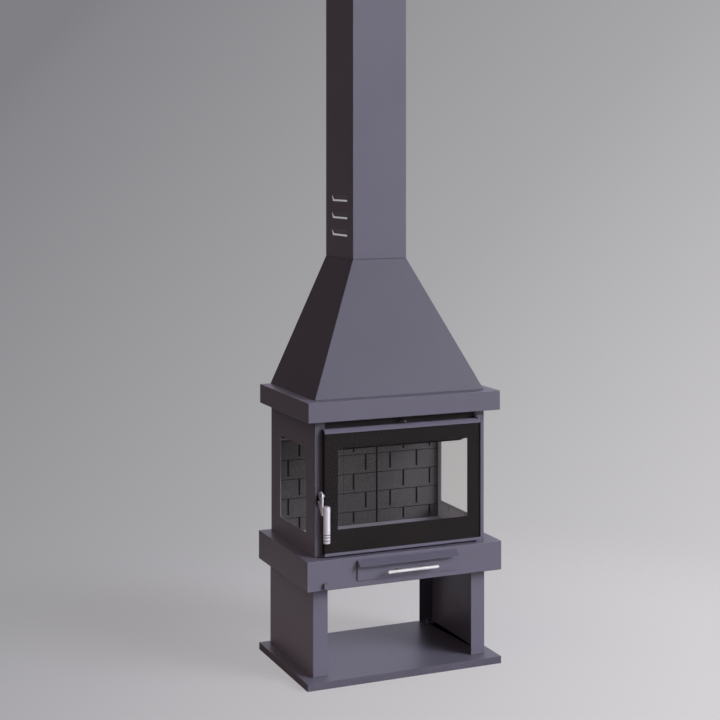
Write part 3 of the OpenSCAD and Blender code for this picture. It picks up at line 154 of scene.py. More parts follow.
def powder_coat():
    """Fine-textured polyester powder coat on steel: satin, a cool violet grey, with no gloss line.
    Its real grain of 0.3 mm is too fine to show, so it is drawn at 2.5 mm."""
    return coated_steel("grey_powder_coat", "#6B6877", "#686574", roughness=0.38, specular=0.5)


def shaded_hood_coat():
    """Powder coat on the hood, painted darker as painted shade on its sloping front."""
    return coated_steel("grey_powder_coat_hood_painted_shade", "#585665", "#555362",
                        roughness=0.42, specular=0.3)


def shaded_visor_coat():
    """Powder coat on top of the drawer's visor, painted darker as painted shade."""
    return coated_steel("grey_powder_coat_visor_painted_shade", "#5F5D6C", "#5C5A69",
                        roughness=0.42, specular=0.3)


def lit_firebox_enamel():
    """Heat-proof silicone enamel inside the firebox: flatter and a little chalky, and painted
    paler than the outer coat as painted light on the firebox floor and walls.
    """
    return coated_steel("firebox_grey_enamel", "#918F9C", "#8A8895",
                        roughness=0.6, specular=0.3, grain_mm=3.0, depth_mm=0.06)


def side_wall_painted_light():
    """The same enamel on the firebox side of the side panels, painted paler still as painted light.
    """
    return coated_steel("side_wall_enamel_painted_light", "#A3A1AC", "#999794",
                        roughness=0.6, specular=0.3, grain_mm=3.0, depth_mm=0.06)


def stove_paint():
    """Matt black stove paint: brown-black, dry to the eye, with the finest sprayed grain."""
    return coated_steel("black_stove_paint", "#1D1719", "#181314",
                        roughness=0.6, specular=0.15, grain_mm=2.0, depth_mm=0.04)


def greyed_paint():
    """The same stove paint on the fixed front frame, a dark grey a little lighter than the black.
    """
    return coated_steel("greyed_stove_paint", "#3A3335", "#322C2E",
                        roughness=0.62, specular=0.2, grain_mm=2.0, depth_mm=0.04)


def scuffed_coat():
    """The powder coat on the rim of the base, rubbed matt by shoes and the broom."""
    return coated_steel("scuffed_powder_coat", "#66636F", "#5E5B67",
                        roughness=0.75, specular=0.1, grain_mm=3.0, depth_mm=0.1)


def cast_iron():
    """Grey cast iron, as cast in sand: dark, rough skin with pits of 2 mm and rusty hollows in
    patches of 38 mm."""
    material, tree, shader, place = blank("cast_iron", {"Metallic": 0.55})
    iron = grained(tree, shader, place, 2.2, detail=4.0, grit=0.65, shades=("#2C2A2B", "#444142"),
                   roughness=(0.55, 0.8), relief=(0.35, 0.6))
    rust = add(tree, "ShaderNodeTexNoise",
               {"Vector": place, "Scale": 1.0 / (38.0 * MM), "Detail": 3.0})
    rusty = add(tree, "ShaderNodeMapRange", {"Value": rust.outputs["Fac"], "From Min": 0.55,
                                             "From Max": 0.75, "To Max": 0.35})
    stained = add(tree, "ShaderNodeMix", {FACTOR: rusty.outputs["Result"], FIRST: iron,
                                          SECOND: "#4A342A"}, data_type="RGBA")
    tree.links.new(stained.outputs[MIXED], shader.inputs["Base Color"])
    return material


def vermiculite():
    """Pressed vermiculite slab, moulded as brickwork: dry dark grey board of 3 mm flakes. A few of
    the flakes are paler and smoother, and soot darkens the board in clouds of 140 mm."""
    material, tree, shader, place = blank("pressed_vermiculite", {"Specular IOR Level": 0.2})
    board = grained(tree, shader, place, 140.0, detail=3.0, shades=("#4A474A", "#454245"))
    grained(tree, shader, place, 1.6, detail=3.0, grit=0.6, relief=(0.3, 0.5))
    flakes = add(tree, "ShaderNodeTexVoronoi", {"Vector": place, "Scale": 1.0 / (3.0 * MM)})
    each = add(tree, "ShaderNodeSeparateColor", {"Color": flakes.outputs["Color"]}).outputs["Red"]
    paler = add(tree, "ShaderNodeMapRange", {"Value": each, "From Min": 0.72, "To Max": 0.55})
    flaked = add(tree, "ShaderNodeMix", {FACTOR: paler.outputs["Result"], FIRST: board,
                                         SECOND: "#605E5C"}, data_type="RGBA")
    tree.links.new(flaked.outputs[MIXED], shader.inputs["Base Color"])
    smoother = add(tree, "ShaderNodeMapRange", {"Value": each, "From Min": 0.8,
                                                "To Min": 0.92, "To Max": 0.62})
    tree.links.new(smoother.outputs["Result"], shader.inputs["Roughness"])
    return material


def sooty_joint():
    """Moulded joint between the bricks: the same board, black with soot that no fire burns off."""
    material, tree, shader, place = blank("sooty_joint",
                                          {"Roughness": 0.95, "Specular IOR Level": 0.1})
    grained(tree, shader, place, 2.0, detail=3.0, shades=("#151313", "#262323"),
            relief=(0.3, 0.5))
    return material


def brushed_stainless(name, along, dull, bright):
    """Stainless steel, brushed with fine grit: bright, with hairlines that run along the piece.
    Hairlines of 0.1 mm are too fine to show, so they are drawn 0.8 mm wide and 50 times as long.
    The grip's steel is drawn a little bluer than the drawer's bar."""
    material, tree, shader, place = blank(name, {"Metallic": 1.0})
    stretch = [1.0, 1.0, 1.0]
    stretch["xyz".index(along)] = 0.02
    drawn = add(tree, "ShaderNodeMapping", {"Vector": place, "Scale": stretch}).outputs["Vector"]
    grained(tree, shader, drawn, 0.8, shades=(dull, bright), roughness=(0.5, 0.62),
            relief=(0.02, 0.3))
    return material


def groove_painted_shade():
    """The turned grooves of the grip, painted dark as painted shade."""
    material, tree, shader, place = blank("groove_painted_shade", {"Metallic": 0.4, "Roughness": 0.7})
    grained(tree, shader, place, 2.0, detail=3.0, shades=("#56545E", "#6B6973"),
            relief=(0.05, 0.3))
    return material


def zinc_plating():
    """Zinc-plated steel, passivated clear: a soft bluish silver that dulls in 20 mm clouds."""
    material, tree, shader, place = blank("zinc_plated_steel", {"Metallic": 1.0})
    grained(tree, shader, place, 20.0, detail=4.0, shades=("#B5B7BC", "#A2A5AB"),
            roughness=(0.34, 0.5))
    return material


def glass_fibre():
    """Braided glass-fibre rope, graphite grey: dry yarns of 1 mm with a slight silky sheen."""
    material, tree, shader, place = blank(
        "glass_fibre_rope", {"Roughness": 0.85, "Sheen Weight": 0.15, "Sheen Roughness": 0.4})
    grained(tree, shader, place, 1.0, shades=("#4A4846", "#63605D"), relief=(0.2, 0.5))
    return material


def window_tape():
    """Flat glass-fibre tape under the side panes, undyed: dull white, with yarns of 1 mm."""
    material, tree, shader, place = blank("glass_fibre_tape", {"Roughness": 0.9})
    grained(tree, shader, place, 1.0, shades=("#8B8992", "#A09DA8"), relief=(0.2, 0.5))
    return material


def stove_glass():
    """Clear glass ceramic, rolled: barely warm to look through, with a faint mirror at grazing
    angles on the side one looks at. Lamps shine through it."""
    material, tree, shader, _ = blank("stove_glass")
    clear = add(tree, "ShaderNodeBsdfTransparent", {"Color": "#FEFEFD"}).outputs["BSDF"]
    mirror = add(tree, "ShaderNodeBsdfGlossy", {"Color": "#FFFFFF", "Roughness": 0.04})
    edge = add(tree, "ShaderNodeFresnel", {"IOR": 1.16})
    far_side = add(tree, "ShaderNodeNewGeometry").outputs["Backfacing"]
    near_side = add(tree, "ShaderNodeMath", {0: 1.0, 1: far_side}, operation="SUBTRACT")
    shine = add(tree, "ShaderNodeMath", {0: edge.outputs["Fac"], 1: near_side.outputs["Value"]},
                operation="MULTIPLY")
    pane = add(tree, "ShaderNodeMixShader", {0: shine.outputs["Value"], 1: clear,
                                             2: mirror.outputs["BSDF"]})
    shadow = add(tree, "ShaderNodeLightPath").outputs["Is Shadow Ray"]
    lit = add(tree, "ShaderNodeMixShader", {0: shadow, 1: pane.outputs["Shader"], 2: clear})
    tree.links.new(lit.outputs["Shader"], tree.nodes["Material Output"].inputs["Surface"])
    tree.nodes.remove(shader)
    return material


COAT = powder_coat()
SHADED_HOOD_COAT = shaded_hood_coat()
SHADED_VISOR_COAT = shaded_visor_coat()
FIREBOX_PAINTED_LIGHT = lit_firebox_enamel()
WALL_PAINTED_LIGHT = side_wall_painted_light()
BLACK = stove_paint()
GREYED = greyed_paint()
SCUFFED = scuffed_coat()
IRON = cast_iron()
BRICK = vermiculite()
SOOT = sooty_joint()
STEEL_UPRIGHT = brushed_stainless("brushed_stainless_upright", "z", "#DEDCE4", "#ECEBF1")
STEEL_LEVEL = brushed_stainless("brushed_stainless_level", "x", "#DFDDDC", "#EDECE9")
GROOVE_SHADE = groove_painted_shade()
ZINC = zinc_plating()
FIBRE = glass_fibre()
TAPE = window_tape()
GLASS = stove_glass()

# ---------------------------------------------------------------- rounded folds and eased edges

WELD = 0.01 * MM           # vertices closer than this are one
FLAT = math.radians(0.3)   # faces that meet flatter than this are one
CREASE = math.radians(28)  # edges sharper than this are folds or cuts
SHEET = 5.0 * MM           # a face narrower than this is the thickness of a sheet
SHORT = 1.2 * MM           # a cut edge shorter than this is a step of an arc
FOLD_RUN = 2.2             # a lone fold is rounded if it is longer than this many radii
CUT_SHARE = 0.4            # a cut edge is rounded by no more than this share of the thickness
BEND_STEPS = 3             # facets round a bend


def width_across(face, edge):
    """How far a face reaches from one of its edges: the largest distance of its corners from the
    edge's line."""
    start = edge.verts[0].co
    along = (edge.verts[1].co - start).normalized()
    return max((corner.co - start).cross(along).length for corner in face.verts)


def carries_on(edge):
    """Whether another folded edge goes on from this one in nearly the same direction, as round a
    curved corner."""
    for corner in edge.verts:
        along = (corner.co - edge.other_vert(corner).co).normalized()
        for following in corner.link_edges:
            if following is not edge and len(following.link_faces) == 2:
                onward = (following.other_vert(corner).co - corner.co).normalized()
                if along.dot(onward) > math.cos(CREASE) and following.calc_face_angle() > CREASE:
                    return True
    return False


def edge_radius(edge, fold, cut):
    """The radius an edge is rounded to: fold where two wide faces meet outwards, cut at the edge
    of a sheet, and nothing where faces meet inwards or smoothly."""
    if len(edge.link_faces) != 2 or edge.calc_face_angle() < CREASE or not edge.is_convex:
        return 0.0
    narrow = min(width_across(face, edge) for face in edge.link_faces)
    length = edge.calc_length()
    if narrow > SHEET and (length > FOLD_RUN * fold or carries_on(edge)):
        return fold
    return min(cut, CUT_SHARE * narrow) if length > SHORT else 0.0


def skin(node, fold, cut, second):
    """A copy of a solid's mesh, welded, with each edge weighted by the share of fold that it is
    rounded to. second is the rule, from a face's middle and direction, for the second finish."""
    mesh = NODES[node].data.copy()
    shape = bmesh.new()
    shape.from_mesh(mesh)
    bmesh.ops.remove_doubles(shape, verts=shape.verts, dist=WELD)
    bmesh.ops.dissolve_limit(shape, angle_limit=FLAT, verts=shape.verts, edges=shape.edges)
    weight = shape.edges.layers.float.new("bevel_weight_edge")
    for edge in shape.edges:
        edge[weight] = edge_radius(edge, fold, cut) / fold if fold else 0.0
        edge.smooth = (edge[weight] > 0.0 or len(edge.link_faces) != 2
                       or edge.calc_face_angle() < CREASE)
    for face in shape.faces:
        face.smooth = True
        face.material_index = int(second is not None
                                  and second(face.calc_center_median(), face.normal))
    mesh.name = node + "_skin"
    mesh.materials.clear()
    shape.to_mesh(mesh)
    shape.free()
    return mesh


def finished(node, material, body, fold_mm, cut_mm, inside):
    """A solid's skin in place of the solid, with its outward folds rounded to fold_mm and its cut
    edges eased to cut_mm. A turned piece, with a fold_mm of 0, is only smoothed. inside is a
    second finish and the rule for its faces, or None."""
    other, second = inside or (None, None)
    mesh = skin(node, fold_mm * MM, cut_mm * MM, second)
    mesh.materials.append(material)
    if other is not None:
        mesh.materials.append(other)
    piece = placed(node + "_skin", mesh)
    if fold_mm:
        rounding = piece.modifiers.new("rounding", "BEVEL")
        rounding.limit_method = "WEIGHT"
        rounding.width = fold_mm * MM
        rounding.segments = BEND_STEPS
        rounding.use_clamp_overlap = False
        rounding.loop_slide = False
        flat = piece.modifiers.new("flat_faces", "WEIGHTED_NORMAL")
        flat.keep_sharp = True
    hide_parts(node)
    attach(piece, body)


def repainted(node, material):
    """A solid that is right as it is, with its finish."""
    for holder in NODES[node].material_slots:
        holder.material = material


# ---------------------------------------------------------------- braided rope seal

ROPE_WIDTH = 14.0 * MM    # across the door
ROPE_CORNER = 26.0 * MM   # bend of the rope's middle in the corners
BRAID_PITCH = 11.0 * MM   # length in which a yarn goes once over and under
BRAID_YARNS = 6           # yarns each way round the rope
BRAID_DEPTH = 0.12        # how deep the braid's hollows are, as a share of the radius
STATIONS, AROUND = 1500, 30   # points along the rope and round it
CORNER_POINTS = 40        # points of the outline in each corner, before it is sampled evenly


def loop(half_x, half_z, radius, count):
    """count points, evenly spaced, round a rectangle of those half sizes whose corners are arcs of
    radius, and its length: a dense outline is measured along its length and sampled at even
    distances."""
    turn = np.linspace(0.0, np.pi / 2.0, CORNER_POINTS)
    corners = [(1, 1, 0), (-1, 1, 1), (-1, -1, 2), (1, -1, 3)]
    outline = np.concatenate([np.stack([
        sx * (half_x - radius) + radius * np.cos(turn + quarter * np.pi / 2.0),
        sz * (half_z - radius) + radius * np.sin(turn + quarter * np.pi / 2.0)], axis=1)
        for sx, sz, quarter in corners] + [np.array([[half_x, half_z - radius]])])
    steps = np.concatenate([[0.0],
                            np.cumsum(np.linalg.norm(np.diff(outline, axis=0), axis=1))])
    even = np.linspace(0.0, steps[-1], count, endpoint=False)
    points = np.stack([np.interp(even, steps, outline[:, 0]),
                       np.interp(even, steps, outline[:, 1])], axis=1)
    return points, steps[-1]


def braided_rope():
    """The rope on the back of the door: an ellipse carried along the loop, whose radius dips
    between yarns that wind both ways. At the angle a round the rope and the distance s along it,
    the ellipse is scaled by 1 - BRAID_DEPTH (1 - m). Here m is the larger of |cos(k a + w s)| and
    |cos(k a - w s)|, with k half the number of yarns, and w = pi / BRAID_PITCH but for the little
    that makes a whole number of turns fit the loop."""
    low, high = (np.array(corner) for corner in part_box("door_rope_seal"))
    middle, half = (low + high) / 2.0, (high - low) / 2.0
    path, length = loop(half[0] - ROPE_WIDTH / 2.0, half[2] - ROPE_WIDTH / 2.0, ROPE_CORNER,
                        STATIONS)
    tangent = np.roll(path, -1, axis=0) - np.roll(path, 1, axis=0)
    tangent /= np.linalg.norm(tangent, axis=1, keepdims=True)
    outward = np.stack([tangent[:, 1], -tangent[:, 0]], axis=1)
    angle = np.linspace(0.0, 2.0 * np.pi, AROUND, endpoint=False)
    winds = (round(length / BRAID_PITCH) * np.pi * np.arange(STATIONS) / STATIONS)[:, None]
    yarns = BRAID_YARNS / 2.0 * angle[None, :]
    raised = np.maximum(np.abs(np.cos(yarns + winds)), np.abs(np.cos(yarns - winds)))
    radius = 1.0 - BRAID_DEPTH * (1.0 - raised)
    across = ROPE_WIDTH / 2.0 * radius * np.cos(angle)
    points = np.stack([
        middle[0] + path[:, :1] + across * outward[:, :1],
        middle[1] + half[1] * radius * np.sin(angle),
        middle[2] + path[:, 1:] + across * outward[:, 1:]], axis=2)
    return grid_piece("door_rope_braid", points, FIBRE)


def grid_piece(name, points, material):
    """A smooth closed skin over a grid of points that joins up along both of its directions: each
    point and its next neighbours down and to the right span one quad."""
    rows, columns = points.shape[:2]
    row, column = np.meshgrid(np.arange(rows), np.arange(columns), indexing="ij")
    down, right = (row + 1) % rows, (column + 1) % columns
    faces = np.stack([row * columns + column, down * columns + column,
                      down * columns + right, row * columns + right], axis=2).reshape(-1, 4)
    mesh = bpy.data.meshes.new(name)
    mesh.from_pydata(points.reshape(-1, 3).tolist(), [], faces.tolist())
    mesh.shade_smooth()
    mesh.materials.append(material)
    shape = bmesh.new()
    shape.from_mesh(mesh)
    bmesh.ops.recalc_face_normals(shape, faces=shape.faces)
    shape.to_mesh(mesh)
    shape.free()
    return placed(name, mesh)


# ---------------------------------------------------------------- the pieces and their finishes

# Material, and material slot of the record, for each finish; the hood's coat carries painted
# shade and the firebox enamels painted light. The window clips are zinc-plated and painted over
# together with the firebox's walls, in the same painted light
SLOTS = {
    "coat": (COAT, "grey_powder_coat"), "hood": (SHADED_HOOD_COAT, "grey_powder_coat"),
    "enamel": (FIREBOX_PAINTED_LIGHT, "firebox_grey_enamel"), "iron": (IRON, "cast_iron"),
    "black": (BLACK, "black_stove_paint"), "greyed": (GREYED, "black_stove_paint"),
    "upright": (STEEL_UPRIGHT, "brushed_stainless"), "level": (STEEL_LEVEL, "brushed_stainless"),
    "zinc": (ZINC, "zinc_plated_steel"), "clip": (WALL_PAINTED_LIGHT, "zinc_plated_steel"),
    "brick": (BRICK, "firebrick"), "tape": (TAPE, "glass_fibre_rope"),
    "glass": (GLASS, "stove_glass"),
}
# Finish, fold radius and cut-edge radius in mm of each piece that is rounded
ROUNDED = {
    "base_plate": ("coat", 2.0, 0.5), "base_stiffener": ("coat", 2.0, 0.4),
    "left_leg": ("coat", 2.2, 0.4), "right_leg": ("coat", 2.2, 0.4),
    "shelf_floor": ("coat", 1.5, 0.4), "hearth_shelf": ("coat", 2.2, 0.4),
    "drawer_runners": ("zinc", 1.2, 0.3), "air_guides": ("zinc", 1.2, 0.3),
    "firebox_floor": ("enamel", 2.0, 0.4), "cast_grate": ("iron", 1.8, 0.8),
    "left_side_panel": ("coat", 2.2, 0.5), "right_side_panel": ("coat", 2.2, 0.5),
    "firebox_back": ("enamel", 2.0, 0.4), "firebox_top": ("enamel", 2.0, 0.4),
    "front_frame": ("greyed", 1.5, 0.5), "rear_air_duct": ("enamel", 1.5, 0.3),
    "left_lining": ("brick", 0.8, 0.2), "centre_lining": ("brick", 0.8, 0.2),
    "right_lining": ("brick", 0.8, 0.2), "lining_retainer": ("enamel", 1.2, 0.3),
    "baffle_rails": ("enamel", 1.2, 0.3), "baffle_plate": ("brick", 2.0, 1.0),
    "air_wash_deflector": ("black", 1.2, 0.3), "flue_spigot": ("black", 1.2, 0.4),
    "damper_guides": ("black", 1.0, 0.3), "hinge_brackets": ("coat", 1.2, 0.4),
    "latch_keeper": ("black", 1.0, 0.3), "keeper_roller": ("zinc", 0.6, 0.3),
    "collar": ("coat", 2.2, 0.4), "hood": ("hood", 2.0, 0.4), "chimney_cover": ("coat", 2.0, 0.3),
    "upper_wall_bracket": ("zinc", 1.0, 0.3), "lower_wall_bracket": ("zinc", 1.0, 0.3),
    "hood_wall_bracket": ("zinc", 2.0, 0.3),
    "door_frame": ("black", 1.5, 0.4), "door_top_rail": ("coat", 1.2, 0.3),
    "door_bottom_rail": ("coat", 1.2, 0.3), "door_hinge_bushes": ("coat", 0.8, 0.4),
    "latch_lug": ("black", 1.0, 0.3), "latch_pivot": ("zinc", 0.0, 0.0),
    "latch_plate": ("upright", 1.0, 0.4), "handle_grip": ("upright", 0.0, 0.0),
    "ash_pan": ("zinc", 1.5, 0.3), "drawer_front": ("coat", 0.0, 0.0),
    "drawer_bar": ("level", 0.0, 0.0), "drawer_posts": ("level", 0.0, 0.0),
    "air_knob": ("coat", 1.2, 0.5), "air_shutter": ("zinc", 1.0, 0.3),
    "damper_plate": ("black", 1.0, 0.4), "damper_rod": ("coat", 0.8, 0.4),
}
# Finish of each piece that is right as it is
KEPT = {
    "leg_bolts": "zinc", "window_clips": "clip", "cover_screws": "zinc",
    "left_window_glass": "glass", "right_window_glass": "glass", "door_glass": "glass",
    "left_window_tape": "tape", "right_window_tape": "tape",
}

SQUARELY = 0.9            # a face whose direction reaches further along an axis faces that way
HALF_WAY = 0.5            # a face whose direction rises further than this is a top
JOINT_SET_BACK = 0.5 * MM     # a lining's face further back than this is a joint
GROOVED_SHARE = 0.4           # the grooves are in this lowest share of the grip's height
GROOVE_DEPTH = 0.7 * MM       # a groove lies at least this far inside the grip's skin
GRIP_CORE = 0.5               # nothing nearer to the axis than this share of the radius is one

GRIP_LOW, GRIP_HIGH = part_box("handle_grip")
GRIP_RADIUS = (GRIP_HIGH[0] - GRIP_LOW[0]) / 2.0


def behind(front):
    """The rule for faces whose middle lies further back than front."""
    return lambda middle, way: middle.y > front


def in_groove(middle, way):
    """Whether a face of the grip lies in one of the turned grooves round its foot."""
    from_axis = math.hypot(middle.x - (GRIP_LOW[0] + GRIP_HIGH[0]) / 2.0,
                           middle.y - (GRIP_LOW[1] + GRIP_HIGH[1]) / 2.0)
    return (middle.z < GRIP_LOW[2] + GROOVED_SHARE * (GRIP_HIGH[2] - GRIP_LOW[2])
            and GRIP_CORE * GRIP_RADIUS < from_axis < GRIP_RADIUS - GROOVE_DEPTH)


# Second finish of a piece and the rule for its faces: the firebox side of the side panels, painted
# light; the rim of the base; the top of the drawer's visor and the grip's grooves, painted shade;
# and the joints between the bricks
INSIDE = {
    "left_side_panel": (WALL_PAINTED_LIGHT, lambda middle, way: way.x > SQUARELY),
    "right_side_panel": (WALL_PAINTED_LIGHT, lambda middle, way: way.x < -SQUARELY),
    "base_plate": (SCUFFED, lambda middle, way: abs(way.z) < HALF_WAY),
    "drawer_front": (SHADED_VISOR_COAT, lambda middle, way: way.z > HALF_WAY),
    "handle_grip": (GROOVE_SHADE, in_groove),
}
for node in ("left_lining", "centre_lining", "right_lining"):
    INSIDE[node] = (SOOT, behind(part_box(node)[0][1] + JOINT_SET_BACK))

BODY_OF = {node: body for body, members in frame["record"]["behaviour"]["bodies"].items()
           for node in members}
for node, (finish, fold_mm, cut_mm) in ROUNDED.items():
    material, slot = SLOTS[finish]
    finished(node, material, BODY_OF[node], fold_mm, cut_mm, INSIDE.get(node))
for node, finish in KEPT.items():
    repainted(node, SLOTS[finish][0])

rope = braided_rope()
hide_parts("door_rope_seal")
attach(rope, "door")

# ---------------------------------------------------------------- camera

CAMERA_PLACE = (-2.3865, -5.3549, 1.9323)
CAMERA_TURN = -23.3168    # degrees, from looking along +Y
CAMERA_LENS = 75.153      # mm, behind a 36 mm wide sensor
CAMERA_SENSOR = 36.0
CAMERA_SHIFT = -0.27718   # the view is level and shifted down, so that upright edges stay upright

camera_data = bpy.data.cameras.new("eye_level_camera")
camera_data.sensor_width = CAMERA_SENSOR
camera_data.lens = CAMERA_LENS
camera_data.shift_y = CAMERA_SHIFT
camera = placed("eye_level_camera", camera_data)
camera.location = CAMERA_PLACE
camera.rotation_euler = (math.radians(90.0), 0.0, math.radians(CAMERA_TURN))
bpy.context.scene.camera = camera

# ---------------------------------------------------------------- lamps

KEY_WAY = (0.62, -0.68, 0.44)   # towards the soft box in front of the object, on its right
KEY_COLOUR = "#F4F5FF"
# Name, direction to the lamp, strength, angular width in degrees, colour, and whether it is
# mirrored. The lamp behind isn't, because the level tops would show it
LAMPS = [
    ("key_right_front", KEY_WAY, 0.7, 24.0, KEY_COLOUR, True),
    ("top", (0.05, -0.25, 1.0), 0.1, 60.0, KEY_COLOUR, True),
    ("fill_left", (-0.9, -0.2, 0.65), 0.78, 80.0, "#FFE4D7", True),
    ("back", (0.35, 0.9, 0.22), 0.7, 60.0, KEY_COLOUR, False),
]
for name, (x, y, z), strength, width, colour, mirrored in LAMPS:
    data = bpy.data.lights.new(name, "SUN")
    data.energy = strength
    data.angle = math.radians(width)
    data.color = linear(colour)[:3]
    lamp = placed(name, data)
    lamp.rotation_euler = (math.atan2(math.hypot(x, y), z), 0.0, math.atan2(x, -y))
    lamp.visible_glossy = mirrored

# A lamp inside the firebox, behind the door, shines back at the bricks and a little down. It
# isn't seen itself
FIREBOX_LAMP_SIZE = (0.42, 0.2)
FIREBOX_LAMP_PLACE = (-0.06, -0.155, 0.76)
FIREBOX_LAMP_TILT = 66.0  # degrees, from shining straight down
FIREBOX_LAMP_WATTS = 0.9

data = bpy.data.lights.new("firebox_lamp", "AREA")
data.shape = "RECTANGLE"
data.size, data.size_y = FIREBOX_LAMP_SIZE
data.energy = FIREBOX_LAMP_WATTS
lamp = placed("firebox_lamp", data)
lamp.location = FIREBOX_LAMP_PLACE
lamp.rotation_euler = (math.radians(FIREBOX_LAMP_TILT), 0.0, 0.0)
lamp.visible_camera = lamp.visible_glossy = lamp.visible_transmission = False

# ---------------------------------------------------------------- backdrop

BACKDROP_STOPS = [(0.0, "#1B1B1D"), (0.3, "#86868A"), (0.65, "#A7A6A9"), (1.0, "#CFCDCF")]
DIMMEST = 0.27            # backdrop and floor look no dimmer than here on that ramp, from any side
# The backdrop's grey rises along this direction of sight, from 0 to 1 across the picture
RISE_WAY, RISE_START = (0.902, -0.305, -0.858), 0.455
SOFT_POWER = 30.0         # the higher, the smaller the soft box
SOFT_STRENGTH = 8.5
AMBIENT_COLOUR, AMBIENT = "#FFE9DF", 0.05   # weak light from all round
# The screen: a pale field behind the object, above the picture, that level sheets mirror. Along
# each side of the direction of sight it comes in between these two values
SCREEN = "#DAD8EC"
SCREEN_SPAN = {"Z": (0.11, 0.22), "Y": (0.2, 0.7), "X": (-0.1, 0.2)}


def studio_grey(tree, share):
    """The grey of the studio, from dim at the upper left to pale at the lower right."""
    ramp = add(tree, "ShaderNodeValToRGB", {"Fac": share})
    stops = ramp.color_ramp.elements
    while len(stops) < len(BACKDROP_STOPS):
        stops.new(0.5)
    for stop, (position, colour) in zip(stops, BACKDROP_STOPS):
        stop.position = position
        stop.color = linear(colour)
    return ramp.outputs["Color"]


def studio_world():
    """The backdrop for rays that look at it, straight or in a mirror, and for all others the light
    of the soft box, which falls off with a power of the cosine from KEY_WAY, and the ambient."""
    world = bpy.data.worlds.new("studio")
    world.use_nodes = True
    tree = world.node_tree
    tree.nodes.clear()
    sight = add(tree, "ShaderNodeTexCoord").outputs["Generated"]
    path = add(tree, "ShaderNodeLightPath").outputs

    rise = add(tree, "ShaderNodeVectorMath", {0: sight, 1: RISE_WAY}, operation="DOT_PRODUCT")
    share = add(tree, "ShaderNodeMath", {0: rise.outputs["Value"], 1: RISE_START}, operation="ADD")
    least = add(tree, "ShaderNodeMath", {0: path["Is Camera Ray"], 1: DIMMEST},
                operation="MULTIPLY")
    share = add(tree, "ShaderNodeMath", {0: share.outputs["Value"], 1: least.outputs["Value"]},
                operation="MAXIMUM")
    grey = studio_grey(tree, share.outputs["Value"])
    sides = add(tree, "ShaderNodeSeparateXYZ", {"Vector": sight}).outputs
    screen = 1.0
    for side, (start, end) in SCREEN_SPAN.items():
        within = add(tree, "ShaderNodeMapRange",
                     {"Value": sides[side], "From Min": start, "From Max": end},
                     interpolation_type="SMOOTHSTEP").outputs["Result"]
        screen = add(tree, "ShaderNodeMath", {0: screen, 1: within},
                     operation="MULTIPLY").outputs["Value"]
    seen = add(tree, "ShaderNodeMix", {FACTOR: screen, FIRST: grey, SECOND: SCREEN},
               data_type="RGBA")
    backdrop = add(tree, "ShaderNodeBackground", {"Color": seen.outputs[MIXED]})

    facing = add(tree, "ShaderNodeVectorMath", {0: sight, 1: KEY_WAY}, operation="DOT_PRODUCT")
    facing = add(tree, "ShaderNodeMath", {0: facing.outputs["Value"], 1: 0.0}, operation="MAXIMUM")
    facing = add(tree, "ShaderNodeMath", {0: facing.outputs["Value"], 1: SOFT_POWER},
                 operation="POWER")
    soft = add(tree, "ShaderNodeMath", {0: facing.outputs["Value"], 1: SOFT_STRENGTH},
               operation="MULTIPLY")
    boxed = add(tree, "ShaderNodeBackground",
                {"Color": KEY_COLOUR, "Strength": soft.outputs["Value"]})
    around = add(tree, "ShaderNodeBackground", {"Color": AMBIENT_COLOUR, "Strength": AMBIENT})
    light = add(tree, "ShaderNodeAddShader", {0: boxed.outputs["Background"],
                                              1: around.outputs["Background"]})

    looks = add(tree, "ShaderNodeMath", {0: path["Is Camera Ray"], 1: path["Is Glossy Ray"]},
                operation="ADD")
    looks = add(tree, "ShaderNodeMath",
                {0: looks.outputs["Value"], 1: path["Is Transmission Ray"]},
                operation="ADD", use_clamp=True)
    studio = add(tree, "ShaderNodeMixShader", {0: looks.outputs["Value"],
                                               1: light.outputs["Shader"],
                                               2: backdrop.outputs["Background"]})
    add(tree, "ShaderNodeOutputWorld", {"Surface": studio.outputs["Shader"]})
    return world


bpy.context.scene.world = studio_world()

# ---------------------------------------------------------------- floor

FLOOR_RADIUS = 2.6
FLOOR_RINGS, FLOOR_SPOKES = 2, 96
FADE_FROM, FADE_TO = 1.2, 2.5   # the floor fades into the backdrop between these distances
# The floor's grey rises along these steps of its own x and y, so that it meets the backdrop
FLOOR_RISE, FLOOR_START = (0.123, -0.098, 0.0), 0.809
FLOOR_LIFT = 1.8          # so that the lit floor is as pale as the backdrop beside it
FLOOR_BOUNCE = 0.3        # share of the floor's grey that lights the object from below
FLOOR_GLOW = 0.8          # share of the floor's grey that the camera sees without shadow


def floor_disc():
    """A flat disc at z = 0: points at r (cos a, sin a) on rings of even radii r and at even
    angles a, joined by quads, and by triangles to a middle point."""
    angle = np.linspace(0.0, 2.0 * np.pi, FLOOR_SPOKES, endpoint=False)
    rings = [np.stack([r * np.cos(angle), r * np.sin(angle), 0.0 * angle], axis=1)
             for r in np.linspace(FLOOR_RADIUS / FLOOR_RINGS, FLOOR_RADIUS, FLOOR_RINGS)]
    points = np.concatenate([np.zeros((1, 3))] + rings)
    spoke = np.arange(FLOOR_SPOKES)
    following = (spoke + 1) % FLOOR_SPOKES
    middle = np.stack([0 * spoke, 1 + spoke, 1 + following], axis=1).tolist()
    outer = np.stack([1 + spoke, 1 + FLOOR_SPOKES + spoke, 1 + FLOOR_SPOKES + following,
                      1 + following], axis=1).tolist()
    mesh = bpy.data.meshes.new("studio_floor")
    mesh.from_pydata(points.tolist(), [], middle + outer)
    return mesh


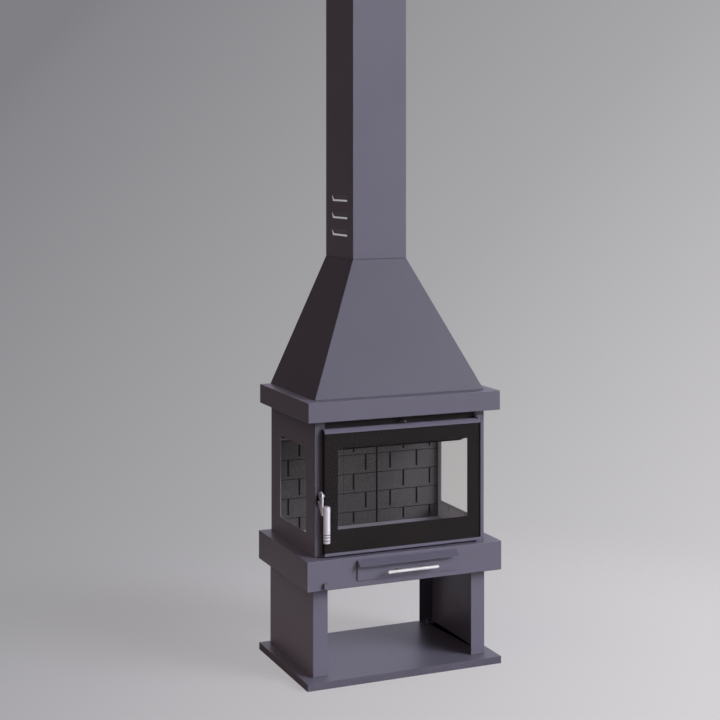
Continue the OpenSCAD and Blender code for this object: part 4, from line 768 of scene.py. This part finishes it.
def floor_paint():
    """Matt studio paint in the backdrop's grey: it keeps the object's shadow, shows the camera a
    share of its grey without it, lights the object only weakly from below, and fades at its rim."""
    material = bpy.data.materials.new("studio_floor_paint")
    material.use_nodes = True
    tree = material.node_tree
    tree.nodes.clear()
    place = add(tree, "ShaderNodeTexCoord").outputs["Object"]
    path = add(tree, "ShaderNodeLightPath").outputs

    rise = add(tree, "ShaderNodeVectorMath", {0: place, 1: FLOOR_RISE}, operation="DOT_PRODUCT")
    share = add(tree, "ShaderNodeMath", {0: rise.outputs["Value"], 1: FLOOR_START},
                operation="ADD")
    share = add(tree, "ShaderNodeMath", {0: share.outputs["Value"], 1: DIMMEST},
                operation="MAXIMUM")
    grey = studio_grey(tree, share.outputs["Value"])
    lift = add(tree, "ShaderNodeMapRange", {"Value": path["Is Diffuse Ray"],
                                            "To Min": FLOOR_LIFT, "To Max": FLOOR_BOUNCE})
    lifted = add(tree, "ShaderNodeVectorMath", {0: grey, "Scale": lift.outputs["Result"]},
                 operation="SCALE")
    matt = add(tree, "ShaderNodeBsdfDiffuse", {"Color": lifted.outputs["Vector"]})
    glow = add(tree, "ShaderNodeEmission", {"Color": grey})
    seen = add(tree, "ShaderNodeMath", {0: path["Is Camera Ray"], 1: FLOOR_GLOW},
               operation="MULTIPLY")
    paint = add(tree, "ShaderNodeMixShader", {0: seen.outputs["Value"], 1: matt.outputs["BSDF"],
                                              2: glow.outputs["Emission"]})

    distance = add(tree, "ShaderNodeVectorMath", {0: place}, operation="LENGTH")
    fade = add(tree, "ShaderNodeMapRange", {"Value": distance.outputs["Value"],
                                            "From Min": FADE_FROM, "From Max": FADE_TO},
               interpolation_type="SMOOTHSTEP")
    gone = add(tree, "ShaderNodeBsdfTransparent")
    cover = add(tree, "ShaderNodeMixShader", {0: fade.outputs["Result"],
                                              1: paint.outputs["Shader"],
                                              2: gone.outputs["BSDF"]})
    add(tree, "ShaderNodeOutputMaterial", {"Surface": cover.outputs["Shader"]})
    return material


floor = placed("studio_floor", floor_disc())
floor.data.materials.append(floor_paint())

bpy.context.scene.view_settings.view_transform = "Standard"
